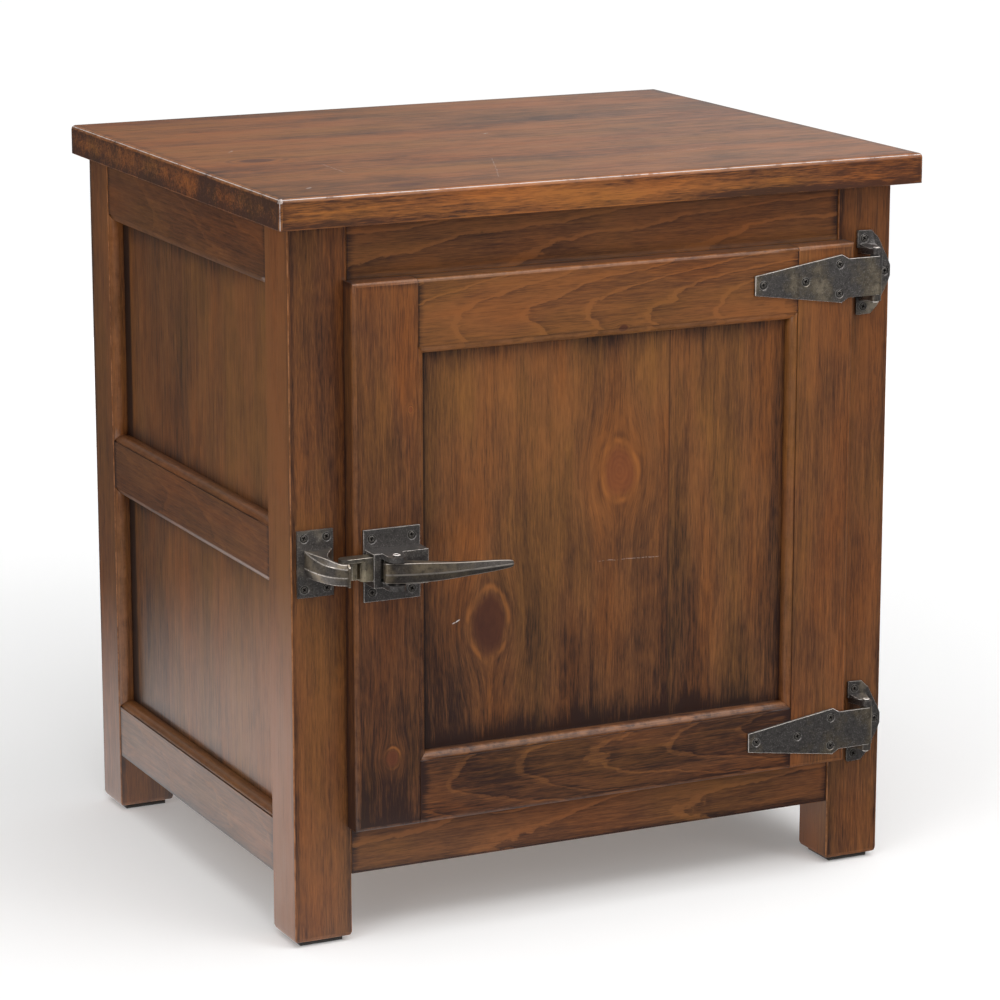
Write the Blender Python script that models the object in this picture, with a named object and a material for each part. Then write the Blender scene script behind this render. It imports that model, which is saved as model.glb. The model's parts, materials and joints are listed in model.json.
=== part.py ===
"""Side cabinet table: a small frame-and-panel cupboard on four legs, with one overlay door.

The door hangs on two offset strap hinges and closes with a spring latch worked by a lever.
Every piece below is drawn in millimetres, measured from the cabinet's own faces:
x from the outer face of the left legs, y back from the front face of the legs and
z up from the underside of the legs. place() turns that into the world frame in metres,
whose origin is under the middle of the overall box, on the ground.
"""
import bpy
import bmesh
from math import cos, pi, radians, sin
from mathutils import Vector

MM = 0.001
GAP = 0.3                      # clearance between pieces that touch on the real object

# Carcass
BODY_WIDTH = 543.0
BODY_DEPTH = 445.0
BODY_HEIGHT = 585.0
LEG_WIDTH = 50.0
FRONT_LEG_DEPTH = 46.0
BACK_LEG_DEPTH = 44.0
LEG_ROUND = 1.2
LEG_FOOT_CHAMFER = 4.5
PAD_HEIGHT = 3.0
PAD_SIZE = (38.0, 36.0)

# Tabletop
TOP_THICKNESS = 25.0
TOP_SIDE_OVERHANG = 16.0
TOP_FRONT_OVERHANG = 24.5
TOP_BACK_OVERHANG = 1.0
TOP_ROUND = 4.5

# Rails and panels
RAIL_THICKNESS = 20.0
RAIL_INSET = 1.0
SIDE_RAILS = {"bottom": (49.0, 94.0), "middle": (295.0, 336.0), "top": (537.0, 585.0)}
SIDE_PANELS = {"lower": ("bottom", "middle"), "upper": ("middle", "top")}
FRONT_RAILS = {"bottom": (53.0, 103.0), "top": (530.0, 585.0)}
SIDE_PANEL_RECESS = 12.0
SIDE_PANEL_THICKNESS = 6.0
BACK_PANEL_FRONT = 430.0
BACK_PANEL_THICKNESS = 5.0
FLOOR_THICKNESS = 10.0
CLEAT_SIZE = (15.0, 15.0)
MOULDING_WIDTH = 6.5
MOULDING_QUIRK = 1.2
MOULDING_DROP = 6.0

# Door
DOOR_X = (46.5, 498.5)
DOOR_Z = (93.5, 539.0)
DOOR_FRONT = -18.5
DOOR_BACK = -0.5
DOOR_ROUND = 3.5
STILE_INNER_X = (102.5, 445.5)
DOOR_RAIL_INNER_Z = (146.0, 485.0)
DOOR_PANEL_RECESS = 10.5
DOOR_PANEL_THICKNESS = 5.5

# Hinges
HINGE_HEIGHTS = {"lower": 122.0, "upper": 510.0}
HINGE_X = 520.6
HINGE_Y = -15.8
BARREL_RADIUS = 5.2
BARREL_BORE = 2.5
BARREL_HALF_HEIGHT = 16.2
EAR_RADIUS = 4.6
EAR_HEIGHTS = (16.8, 21.8)
HINGE_PIN_RADIUS = 2.1
HINGE_PIN_HEAD = (3.0, 1.2)
GUSSET_ROOT = ((512.2, 527.6), 24.4)    # left and right, top edge
GUSSET_TIP = ((515.4, 525.3), 21.9)
PLATE_THICKNESS = 2.5
PLATE_SEAT = 0.1               # gap behind a screwed-on plate
STRAP_SCREWS = [(411.0, 0.0), (450.8, 0.0), (483.0, 12.2), (483.0, -12.2)]
LEAF_SCREWS = [(517.0, 28.6), (517.0, -28.6), (537.2, 0.0)]

# Latch
LATCH_Z = 313.25
LATCH_PLATE_X = (53.5, 102.0)
LATCH_PLATE_HALF_HEIGHT = 29.25
LATCH_SCREWS = [(x, LATCH_Z + z) for x in (60.5, 95.0) for z in (21.8, -21.8)]
CASE_X = (54.5, 101.5)
CASE_FRONT = -38.5
CASE_HALF_HEIGHT = 13.75
CASE_ROOF = 1.8
PIVOT_X = 68.8
PIVOT_Y = -49.8
PIVOT_RADIUS = 1.9
PIVOT_BORE = 2.3
PIVOT_HEAD_RADIUS = 3.2
LUG_RADIUS = 7.2
LUG_FEET_X = (61.7, 79.0)
LEVER_WINDOW_X = (60.4, 80.0)
LEVER_WINDOW_HALF = 9.4
LEVER_REACH = 14.2             # how far the lever's front ridge stands ahead of its pivot
FINGER_ARM = 16.5              # from the lever's pivot to the finger that works the bolt
FINGER_RADIUS = 2.0
BOLT_Y = (-36.1, -24.4)
BOLT_HALF = 8.15
BOLT_CLEARANCE = 0.4
BOLT_SHOULDER_X = (45.0, 60.0)
BOLT_TONGUE_X = (28.0, 56.0)
BOLT_TONGUE_THICKNESS = 2.9
BOLT_TAIL_X = (59.0, 84.0)
BOLT_TAIL_FRONT = -35.4
BOLT_TAIL_HALF = 7.0
BOLT_MOUTH_END = 64.5          # how far the room for the tongue reaches into the case
BOLT_ROOM_END = 98.5

# Strike on the left leg
STRIKE_X = (4.5, 35.3)
STRIKE_Z = (288.5, 342.5)
STRIKE_THICKNESS = 2.8
STRIKE_SCREWS = [(x, z) for x in (10.3, 29.6) for z in (336.6, 295.0)]

# Screws
SCREW_HEAD_RADIUS = 3.7
SCREW_SHANK_RADIUS = 1.6
SCREW_LENGTH = 15.0
COUNTERSINK_RADIUS = 4.4
COUNTERSINK_DEPTH = 2.2
SCREW_HOLE_RADIUS = 2.1

DEPTH_CENTRE = (BODY_DEPTH + TOP_BACK_OVERHANG + PIVOT_Y - LEVER_REACH) / 2

FINISHES = {                   # linear colour, roughness, metallic
    "top_wood": ((0.17, 0.070, 0.033), 0.42, 0.0),
    "frame_wood": ((0.125, 0.050, 0.026), 0.45, 0.0),
    "panel_wood": ((0.105, 0.043, 0.021), 0.48, 0.0),
    "inner_wood": ((0.22, 0.13, 0.07), 0.62, 0.0),
    "bronze": ((0.17, 0.145, 0.115), 0.42, 0.9),
    "worn_brass": ((0.36, 0.28, 0.15), 0.38, 0.95),
    "screw_steel": ((0.20, 0.18, 0.16), 0.40, 0.95),
    "felt": ((0.035, 0.032, 0.030), 0.9, 0.0),
}


# ---------------------------------------------------------------- scene helpers

def clear_scene():
    for old in list(bpy.data.objects):
        bpy.data.objects.remove(old, do_unlink=True)


def place(point):
    """World position in metres of a point given in the cabinet's millimetres."""
    x, y, z = point
    return Vector((x - BODY_WIDTH / 2, y - DEPTH_CENTRE, z + PAD_HEIGHT)) * MM


def axis_empty(name, point, parent=None):
    empty = bpy.data.objects.new(name, None)
    empty.empty_display_size = 20 * MM
    bpy.context.scene.collection.objects.link(empty)
    empty.parent = parent
    empty["at"] = place(point)
    empty.location = place(point) - (Vector(parent["at"]) if parent else Vector())
    return empty


def make_material(name, finish):
    colour, roughness, metallic = FINISHES[finish]
    material = bpy.data.materials.new(name + "_finish")
    material.use_nodes = True
    shader = material.node_tree.nodes["Principled BSDF"]
    shader.inputs["Base Color"].default_value = (*colour, 1.0)
    shader.inputs["Roughness"].default_value = roughness
    shader.inputs["Metallic"].default_value = metallic
    material.diffuse_color = (*colour, 1.0)
    return material


def add_piece(name, bm, finish, parent=None, smooth_angle=None):
    """Turn a mesh drawn in cabinet millimetres into a placed object with its own material."""
    bmesh.ops.recalc_face_normals(bm, faces=bm.faces)
    low = Vector([min(v.co[i] for v in bm.verts) for i in range(3)])
    high = Vector([max(v.co[i] for v in bm.verts) for i in range(3)])
    centre = (low + high) / 2
    for vert in bm.verts:
        vert.co = (vert.co - centre) * MM
    mesh = bpy.data.meshes.new(name)
    bm.to_mesh(mesh)
    bm.free()
    if smooth_angle:
        mesh.shade_smooth()
        mesh.set_sharp_from_angle(angle=radians(smooth_angle))
    piece = bpy.data.objects.new(name, mesh)
    bpy.context.scene.collection.objects.link(piece)
    mesh.materials.append(make_material(name, finish))
    piece.parent = parent
    piece.location = place(centre) - (Vector(parent["at"]) if parent else Vector())
    piece["centre"] = centre
    return piece


def add_tool(name, bm):
    """A hidden solid that other pieces are cut by or joined with."""
    tool = add_piece(name, bm, "inner_wood")
    tool.hide_render = True
    tool.display_type = "WIRE"
    return tool


def combine(piece, tool, operation):
    modifier = piece.modifiers.new(operation.lower() + "_" + tool.name, "BOOLEAN")
    modifier.operation = operation
    modifier.solver = "EXACT"
    modifier.object = tool


def round_edges(piece, width, weights, segments=3):
    """Bevel the edges for which weights(midpoint, direction) gives more than 0 times width."""
    mesh = piece.data
    centre = Vector(piece["centre"])
    layer = mesh.attributes.new("bevel_weight_edge", "FLOAT", "EDGE")
    for edge in mesh.edges:
        start, end = (mesh.vertices[i].co / MM + centre for i in edge.vertices)
        layer.data[edge.index].value = weights((start + end) / 2, (end - start).normalized())
    bevel = piece.modifiers.new("rounded_edges", "BEVEL")
    bevel.limit_method = "WEIGHT"
    bevel.width = width * MM
    bevel.segments = segments


# ---------------------------------------------------------------- mesh helpers

def block(low, high):
    bm = bmesh.new()
    bmesh.ops.create_cube(bm, size=1.0)
    low, high = Vector(low), Vector(high)
    for vert in bm.verts:
        vert.co = Vector([(low[i] + high[i]) / 2 + vert.co[i] * (high[i] - low[i]) for i in range(3)])
    return bm


def loft(rings):
    """Close a skin over rings of equal length, with a cap on the first and the last."""
    bm = bmesh.new()
    loops = [[bm.verts.new(point) for point in ring] for ring in rings]
    count = len(loops[0])
    for near, far in zip(loops, loops[1:]):
        for i in range(count):
            j = (i + 1) % count
            bm.faces.new((near[i], near[j], far[j], far[i]))
    bm.faces.new(loops[0])
    bm.faces.new(list(reversed(loops[-1])))
    return bm


def prism(outline, axis, start, end):
    """Extrude a flat outline along axis 0, 1 or 2; the outline holds the other two coordinates."""
    def ring(level):
        points = []
        for u, v in outline:
            point = [u, v]
            point.insert(axis, level)
            points.append(point)
        return points
    return loft([ring(start), ring(end)])


def turned(profile, centre, axis, sides=16):
    """Turn (radius, distance along axis) points round an axis; both ends have radius 0."""
    bm = bmesh.new()
    other = [i for i in range(3) if i != axis]

    def point(radius, height, angle):
        result = list(centre)
        result[axis] += height
        result[other[0]] += radius * cos(angle)
        result[other[1]] += radius * sin(angle)
        return result

    first = bm.verts.new(point(0, profile[0][1], 0))
    last = bm.verts.new(point(0, profile[-1][1], 0))
    angles = [2 * pi * i / sides for i in range(sides)]
    loops = [[bm.verts.new(point(r, h, a)) for a in angles] for r, h in profile[1:-1]]
    for i in range(sides):
        j = (i + 1) % sides
        bm.faces.new((first, loops[0][i], loops[0][j]))
        bm.faces.new((last, loops[-1][j], loops[-1][i]))
        for near, far in zip(loops, loops[1:]):
            bm.faces.new((near[i], far[i], far[j], near[j]))
    return bm


def arc(centre, radius, start, end, steps):
    """Points on a circle from start to end degrees."""
    angles = [radians(start + (end - start) * i / steps) for i in range(steps + 1)]
    return [(centre[0] + radius * cos(a), centre[1] + radius * sin(a)) for a in angles]


def circle(centre, radius, sides):
    return arc(centre, radius, 0, 360 - 360 / sides, sides - 1)


def rod(centre, radius, half_length):
    """An upright round bar."""
    profile = [(0, -half_length), (radius, -half_length), (radius, half_length), (0, half_length)]
    return turned(profile, centre, 2)


def joined(meshes):
    """Several separate closed skins in one mesh, for use as one cutter."""
    total = bmesh.new()
    for bm in meshes:
        copies = {vert: total.verts.new(vert.co) for vert in bm.verts}
        for face in bm.faces:
            total.faces.new([copies[vert] for vert in face.verts])
        bm.free()
    return total


# ---------------------------------------------------------------- screws and plates

def screw_mesh(x, z, seat):
    profile = [(0, 0.2), (SCREW_HEAD_RADIUS, 0.2), (SCREW_SHANK_RADIUS, COUNTERSINK_DEPTH),
               (SCREW_SHANK_RADIUS, SCREW_LENGTH - 3), (0, SCREW_LENGTH)]
    return turned(profile, (x, seat, z), 1, sides=12)


def screw_hole(x, z, seat):
    deep = SCREW_LENGTH + 1
    profile = [(0, -1), (COUNTERSINK_RADIUS, -1), (COUNTERSINK_RADIUS, 0),
               (SCREW_HOLE_RADIUS, COUNTERSINK_DEPTH), (SCREW_HOLE_RADIUS, deep), (0, deep)]
    return turned(profile, (x, seat, z), 1, sides=12)


def drill_for_screws(name, spots, seat, targets):
    """Cut countersunk holes at (x, z) spots through the targets; seat is the plate's front face."""
    drill = add_tool(name + "_drill", joined([screw_hole(x, z, seat) for x, z in spots]))
    for target in targets:
        combine(target, drill, "DIFFERENCE")


def add_screws(name, spots, seat, parent):
    for number, (x, z) in enumerate(spots, start=1):
        add_piece(f"{name}_screw_{number}", screw_mesh(x, z, seat), "screw_steel", parent, 35)


# ---------------------------------------------------------------- frame-and-panel work

def moulding_profile(depth):
    """(across, depth) points of the moulded lip that holds a panel; it starts inside its bar."""
    flat = 0.8
    curve = []
    steps = 4
    for i in range(steps + 1):
        turn = pi / 2 * i / steps
        across = flat + (MOULDING_WIDTH - flat) * sin(turn)
        curve.append((across, MOULDING_QUIRK + MOULDING_DROP * (1 - cos(turn))))
    return [(-1.5, MOULDING_QUIRK)] + curve + [(MOULDING_WIDTH, depth), (-1.5, depth)]


def add_moulding(piece, corner, along, across, inward, length, depth):
    """Join a lip with mitred ends to piece, from corner along its edge for length."""
    corner, along, across, inward = (Vector(v) for v in (corner, along, across, inward))
    rings = []
    for end in (0, 1):
        ring = []
        for a, d in moulding_profile(depth):
            travel = max(a, 0) + GAP / 2
            travel = length - travel if end else travel
            ring.append(corner + along * travel + across * a + inward * d)
        rings.append(ring)
    lip = add_tool(f"{piece.name}_lip_{len(piece.modifiers)}", loft(rings))
    combine(piece, lip, "UNION")


# ---------------------------------------------------------------- carcass

def add_tabletop():
    low = (-TOP_SIDE_OVERHANG, -TOP_FRONT_OVERHANG, BODY_HEIGHT)
    high = (BODY_WIDTH + TOP_SIDE_OVERHANG, BODY_DEPTH + TOP_BACK_OVERHANG, BODY_HEIGHT + TOP_THICKNESS)
    top = add_piece("tabletop", block(low, high), "top_wood", smooth_angle=40)

    def weights(middle, direction):
        if abs(direction.z) > 0.5:
            return 0.65
        return 1.0 if middle.z > BODY_HEIGHT + 1 else 0.25
    round_edges(top, TOP_ROUND, weights)


def side_frame(side):
    """Outer face and inward direction of the left or right side frame."""
    return (0.0, 1.0) if side == "left" else (BODY_WIDTH, -1.0)


def add_leg(side, end):
    outer, inward = side_frame(side)
    xs = sorted((outer, outer + inward * LEG_WIDTH))
    ys = (0, FRONT_LEG_DEPTH) if end == "front" else (BODY_DEPTH - BACK_LEG_DEPTH, BODY_DEPTH)
    name = f"leg_{end}_{side}"
    leg = add_piece(name, block((xs[0], ys[0], 0), (xs[1], ys[1], BODY_HEIGHT - GAP)), "frame_wood",
                    smooth_angle=40)

    def weights(middle, direction):
        if abs(direction.z) > 0.5:
            return LEG_ROUND / LEG_FOOT_CHAMFER
        return 1.0 if middle.z < 1 else 0.0
    round_edges(leg, LEG_FOOT_CHAMFER, weights, segments=2)

    edge_y, across = (ys[1], 1) if end == "front" else (ys[0], -1)
    for low_rail, high_rail in SIDE_PANELS.values():
        bottom, top = SIDE_RAILS[low_rail][1], SIDE_RAILS[high_rail][0]
        add_moulding(leg, (outer, edge_y, bottom), (0, 0, 1), (0, across, 0), (inward, 0, 0),
                     top - bottom, SIDE_PANEL_RECESS - GAP)
    middle = ((xs[0] + xs[1]) / 2, (ys[0] + ys[1]) / 2)
    half = (PAD_SIZE[0] / 2, PAD_SIZE[1] / 2)
    pad = block((middle[0] - half[0], middle[1] - half[1], -PAD_HEIGHT),
                (middle[0] + half[0], middle[1] + half[1], -GAP))
    pad = add_piece(f"foot_pad_{end}_{side}", pad, "felt")
    round_edges(pad, 2.0, lambda spot, direction: abs(direction.z), segments=2)
    return leg


def add_side_frame(side):
    outer, inward = side_frame(side)
    face = outer + inward * RAIL_INSET
    start, end = FRONT_LEG_DEPTH + GAP, BODY_DEPTH - BACK_LEG_DEPTH - GAP
    for level, (bottom, top) in SIDE_RAILS.items():
        xs = sorted((face, face + inward * RAIL_THICKNESS))
        clear_top = min(top, BODY_HEIGHT - GAP)
        rail = add_piece(f"side_rail_{level}_{side}", block((xs[0], start, bottom), (xs[1], end, clear_top)),
                         "frame_wood")
        for panel_low, panel_high in SIDE_PANELS.values():
            if level == panel_low:
                edge, across = top, 1
            elif level == panel_high:
                edge, across = bottom, -1
            else:
                continue
            add_moulding(rail, (face, start - GAP, edge), (0, 1, 0), (0, 0, across), (inward, 0, 0),
                         end - start + 2 * GAP, SIDE_PANEL_RECESS - RAIL_INSET - GAP)
    for level, (low_rail, high_rail) in SIDE_PANELS.items():
        front = outer + inward * SIDE_PANEL_RECESS
        xs = sorted((front, front + inward * SIDE_PANEL_THICKNESS))
        add_piece(f"side_panel_{level}_{side}",
                  block((xs[0], start, SIDE_RAILS[low_rail][1] + GAP),
                        (xs[1], end, SIDE_RAILS[high_rail][0] - GAP)), "panel_wood")


def add_front_and_back():
    left, right = LEG_WIDTH + GAP, BODY_WIDTH - LEG_WIDTH - GAP
    back = BODY_DEPTH - RAIL_INSET
    for level, (bottom, top) in FRONT_RAILS.items():
        low = (left, RAIL_INSET, bottom)
        high = (right, RAIL_INSET + RAIL_THICKNESS, min(top, BODY_HEIGHT - GAP))
        add_piece(f"front_rail_{level}", block(low, high), "frame_wood")
    for level in ("bottom", "top"):
        bottom, top = SIDE_RAILS[level]
        low = (left, back - RAIL_THICKNESS, bottom)
        add_piece(f"back_rail_{level}", block(low, (right, back, min(top, BODY_HEIGHT - GAP))), "frame_wood")
    low = (left, BACK_PANEL_FRONT, SIDE_RAILS["bottom"][1] + GAP)
    high = (right, BACK_PANEL_FRONT + BACK_PANEL_THICKNESS, SIDE_RAILS["top"][0] - GAP)
    add_piece("back_panel", block(low, high), "inner_wood")


def add_floor():
    """The cabinet floor, notched round the legs, on a cleat along each side."""
    inner = RAIL_INSET + RAIL_THICKNESS + GAP
    leg_in = LEG_WIDTH + GAP
    front, back = inner, BODY_DEPTH - inner
    front_leg, back_leg = FRONT_LEG_DEPTH + GAP, BODY_DEPTH - BACK_LEG_DEPTH - GAP
    half = [(leg_in, front), (leg_in, front_leg), (inner, front_leg),
            (inner, back_leg), (leg_in, back_leg), (leg_in, back)]
    outline = half + [(BODY_WIDTH - x, y) for x, y in reversed(half)]
    top = SIDE_RAILS["bottom"][1]
    bottom = top - FLOOR_THICKNESS
    add_piece("cabinet_floor", prism(outline, 2, bottom, top), "inner_wood")
    for side in ("left", "right"):
        outer, inward = side_frame(side)
        xs = sorted((outer + inward * inner, outer + inward * (inner + CLEAT_SIZE[0])))
        low = (xs[0], front_leg, bottom - GAP - CLEAT_SIZE[1])
        add_piece(f"floor_cleat_{side}", block(low, (xs[1], back_leg, bottom - GAP)), "inner_wood")


# ---------------------------------------------------------------- door

def add_door(axis):
    """Stiles, rails and panel; returns the four frame members by name."""
    members = {}
    spans = {"left": (DOOR_X[0], STILE_INNER_X[0]), "right": (STILE_INNER_X[1], DOOR_X[1])}
    for side, (start, end) in spans.items():
        bm = block((start, DOOR_FRONT, DOOR_Z[0]), (end, DOOR_BACK, DOOR_Z[1]))
        members[side] = add_piece(f"door_stile_{side}", bm, "frame_wood", axis, 40)
    spans = {"bottom": (DOOR_Z[0], DOOR_RAIL_INNER_Z[0]), "top": (DOOR_RAIL_INNER_Z[1], DOOR_Z[1])}
    for level, (start, end) in spans.items():
        bm = block((STILE_INNER_X[0] + GAP, DOOR_FRONT, start), (STILE_INNER_X[1] - GAP, DOOR_BACK, end))
        members[level] = add_piece(f"door_rail_{level}", bm, "frame_wood", axis, 40)

    def weights(middle, direction):
        on_front = middle.y < DOOR_FRONT + 1
        on_side = min(abs(middle.x - x) for x in DOOR_X) < 1
        on_end = min(abs(middle.z - z) for z in DOOR_Z) < 1
        return 1.0 if on_front and (on_side or on_end) else 0.0
    for member in members.values():
        round_edges(member, DOOR_ROUND, weights)

    (left, right), (bottom, top) = STILE_INNER_X, DOOR_RAIL_INNER_Z
    depth = DOOR_PANEL_RECESS - GAP
    inward = (0, 1, 0)
    add_moulding(members["left"], (left, DOOR_FRONT, bottom), (0, 0, 1), (1, 0, 0), inward,
                 top - bottom, depth)
    add_moulding(members["right"], (right, DOOR_FRONT, bottom), (0, 0, 1), (-1, 0, 0), inward,
                 top - bottom, depth)
    add_moulding(members["bottom"], (left, DOOR_FRONT, bottom), (1, 0, 0), (0, 0, 1), inward,
                 right - left, depth)
    add_moulding(members["top"], (left, DOOR_FRONT, top), (1, 0, 0), (0, 0, -1), inward,
                 right - left, depth)
    face = DOOR_FRONT + DOOR_PANEL_RECESS
    panel = block((left + GAP, face, bottom + GAP), (right - GAP, face + DOOR_PANEL_THICKNESS, top - GAP))
    add_piece("door_panel", panel, "panel_wood", axis)
    return members


# ---------------------------------------------------------------- hinges

def strap_mesh(height):
    """Tapered door leaf of a strap hinge, flat on the door face."""
    upper = [(403.5, 8.0), (485.0, 20.0), (491.5, BARREL_HALF_HEIGHT), (HINGE_X, BARREL_HALF_HEIGHT)]
    outline = [(x, height + z) for x, z in upper] + [(x, height - z) for x, z in reversed(upper)]
    return prism(outline, 1, DOOR_FRONT - PLATE_THICKNESS, DOOR_FRONT - PLATE_SEAT)


def barrel_mesh(height):
    outline = circle((HINGE_X, HINGE_Y), BARREL_RADIUS, 20)
    return prism(outline, 2, height - BARREL_HALF_HEIGHT, height + BARREL_HALF_HEIGHT)


def leaf_mesh(height):
    """Frame leaf: two lobes joined behind the barrel, open on the door's side."""
    lobe = [(510.6, 21.0), (510.6, 34.6), (511.4, 35.4), (523.8, 35.0)]
    nose = [(530.5, 28.5), (535.5, 18.5), (540.4, 9.5), (542.4, 4.5)]
    inside = [(528.5, 17.5), (525.5, 21.0)]
    upper = lobe + nose
    outline = upper + [(x, -z) for x, z in reversed(upper)]
    outline += [(x, -z) for x, z in reversed(inside)] + inside
    return prism([(x, height + z) for x, z in outline], 1, -PLATE_THICKNESS, -PLATE_SEAT)


def ear_mesh(height, side):
    """One knuckle of the frame leaf, from the plate out round the pin; side is 1 above, -1 below."""
    outline = [(512.0, -1.0)] + arc((HINGE_X, HINGE_Y), EAR_RADIUS, 170, 370, 12) + [(528.0, -1.0)]
    near, far = (height + side * z for z in EAR_HEIGHTS)
    return prism(outline, 2, near, far)


def gusset_mesh(height, side):
    """The slope that runs from the lobe of the frame leaf down to its knuckle."""
    rings = []
    for y, ((left, right), top) in ((-1.0, GUSSET_ROOT), (-12.5, GUSSET_TIP)):
        foot = height + side * (EAR_HEIGHTS[1] - 1.5)
        edge = height + side * top
        rings.append([(left, y, foot), (right, y, foot), (right, y, edge), (left, y, edge)])
    return loft(rings)


def hinge_pin_mesh(height):
    head = EAR_HEIGHTS[1] + GAP
    radius, thickness = HINGE_PIN_HEAD
    shoulder = head + 0.75 * thickness
    upper = [(HINGE_PIN_RADIUS, head), (radius, head), (radius, shoulder), (0, head + thickness)]
    lower = [(r, -h) for r, h in reversed(upper)]
    return turned(lower + upper, (HINGE_X, HINGE_Y, height), 2)


def add_hinge(level, axis, door, leg):
    height = HINGE_HEIGHTS[level]
    strap = add_piece(f"hinge_strap_{level}", strap_mesh(height), "bronze", axis, 35)
    combine(strap, add_tool(f"barrel_{level}", barrel_mesh(height)), "UNION")
    leaf = add_piece(f"hinge_leaf_{level}", leaf_mesh(height), "bronze", None, 35)
    for name, side in (("high", 1), ("low", -1)):
        combine(leaf, add_tool(f"ear_{name}_{level}", ear_mesh(height, side)), "UNION")
        combine(leaf, add_tool(f"gusset_{name}_{level}", gusset_mesh(height, side)), "UNION")
    bore = add_tool(f"hinge_bore_{level}", rod((HINGE_X, HINGE_Y, height), BARREL_BORE, 40))
    combine(strap, bore, "DIFFERENCE")
    combine(leaf, bore, "DIFFERENCE")
    add_piece(f"hinge_pin_{level}", hinge_pin_mesh(height), "bronze", None, 35)

    door_rail = door["bottom" if level == "lower" else "top"]
    spots = [(x, height + z) for x, z in STRAP_SCREWS]
    seat = DOOR_FRONT - PLATE_THICKNESS
    drill_for_screws(f"strap_{level}", spots, seat, [strap, door["right"], door_rail])
    add_screws(f"strap_{level}", spots, seat, axis)
    spots = [(x, height + z) for x, z in LEAF_SCREWS]
    drill_for_screws(f"leaf_{level}", spots, -PLATE_THICKNESS, [leaf, leg])
    add_screws(f"leaf_{level}", spots, -PLATE_THICKNESS, None)


# ---------------------------------------------------------------- latch

def case_box_mesh():
    """Box of the latch case with the two rounded lugs that hold the lever's pivot."""
    back = DOOR_FRONT - PLATE_THICKNESS + 0.5
    lug = arc((PIVOT_X, PIVOT_Y), LUG_RADIUS, 180, 345, 14)
    outline = [(CASE_X[0], back), (CASE_X[0], CASE_FRONT), (LUG_FEET_X[0], CASE_FRONT)]
    outline += lug + [(LUG_FEET_X[1], CASE_FRONT), (CASE_X[1], CASE_FRONT), (CASE_X[1], back)]
    return prism(outline, 2, LATCH_Z - CASE_HALF_HEIGHT, LATCH_Z + CASE_HALF_HEIGHT)


def lever_window_mesh():
    """Room between the lugs, and through the front of the box, for the lever."""
    rear, ahead = BOLT_Y[1] - 4, CASE_FRONT - 20
    left, right = LEVER_WINDOW_X
    outline = [(left, rear), (right, rear), (right, ahead), (left - 6, ahead), (left - 6, CASE_FRONT),
               (left, CASE_FRONT)]
    return prism(outline, 2, LATCH_Z - LEVER_WINDOW_HALF, LATCH_Z + LEVER_WINDOW_HALF)


def add_latch_case(axis, stile):
    """Plate and box on the door stile, hollow for the bolt and open in front for the lever."""
    low, high = LATCH_Z - LATCH_PLATE_HALF_HEIGHT, LATCH_Z + LATCH_PLATE_HALF_HEIGHT
    seat = DOOR_FRONT - PLATE_THICKNESS
    plate = block((LATCH_PLATE_X[0], seat, low), (LATCH_PLATE_X[1], DOOR_FRONT - PLATE_SEAT, high))
    case = add_piece("latch_case", plate, "bronze", axis)
    combine(case, add_tool("case_box", case_box_mesh()), "UNION")
    front, rear = BOLT_Y[0] - BOLT_CLEARANCE, BOLT_Y[1] + BOLT_CLEARANCE
    room_half = BOLT_HALF + BOLT_CLEARANCE
    room = block((LEVER_WINDOW_X[0] - 1, front, LATCH_Z - room_half),
                 (BOLT_ROOM_END, rear, LATCH_Z + room_half))
    mouth = block((CASE_X[0] - 1, front, LATCH_Z - room_half),
                  (BOLT_MOUTH_END, rear, LATCH_Z + CASE_HALF_HEIGHT - CASE_ROOF))
    bore = rod((PIVOT_X, PIVOT_Y, LATCH_Z), PIVOT_BORE, 20)
    hollows = {"case_window": lever_window_mesh(), "case_room": room, "case_mouth": mouth, "case_bore": bore}
    for name, mesh in hollows.items():
        combine(case, add_tool(name, mesh), "DIFFERENCE")
    drill_for_screws("latch_case", LATCH_SCREWS, seat, [case, stile])


def add_latch_pivot(axis):
    head = CASE_HALF_HEIGHT + GAP
    profile = [(0, -head - 0.8), (PIVOT_RADIUS, -head - 0.5), (PIVOT_RADIUS, head), (PIVOT_HEAD_RADIUS, head),
               (0.9 * PIVOT_HEAD_RADIUS, head + 0.9), (0, head + 1.2)]
    add_piece("latch_pivot_pin", turned(profile, (PIVOT_X, PIVOT_Y, LATCH_Z), 2), "bronze", axis, 35)


LEVER_SECTIONS = [             # along the lever from its pivot: front ridge, back face, half height
    (-9.0, 1.7, 4.5, 8.0), (-7.6, -0.8, 7.1, 8.2), (-4.2, -2.8, 8.8, 8.2), (2.7, -5.4, 9.9, 8.2),
    (10.2, -7.6, 8.8, 8.1), (18.7, -9.8, 3.8, 7.9), (31.7, -12.6, -2.6, 7.3), (44.7, -13.9, -6.2, 6.5),
    (59.7, -LEVER_REACH, -8.1, 5.6), (74.7, -14.1, -9.0, 4.8), (85.7, -13.7, -9.5, 4.0),
    (93.7, -13.1, -10.0, 3.2), (96.2, -12.5, -10.7, 2.0)]


def lever_mesh():
    """Tapered pull with a ridge along the middle of its front and eased edges beside it."""
    ease = 0.7
    rings = []
    for x, front, back, half in LEVER_SECTIONS:
        fall = min(1.4, (back - front) / 3)
        points = [(front, 0), (front + fall, half - ease), (front + fall + ease, half),
                  (back - GAP, half), (back - GAP, -half), (front + fall + ease, -half),
                  (front + fall, ease - half)]
        rings.append([(PIVOT_X + x, PIVOT_Y + y, LATCH_Z + z) for y, z in points])
    return loft(rings)


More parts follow.
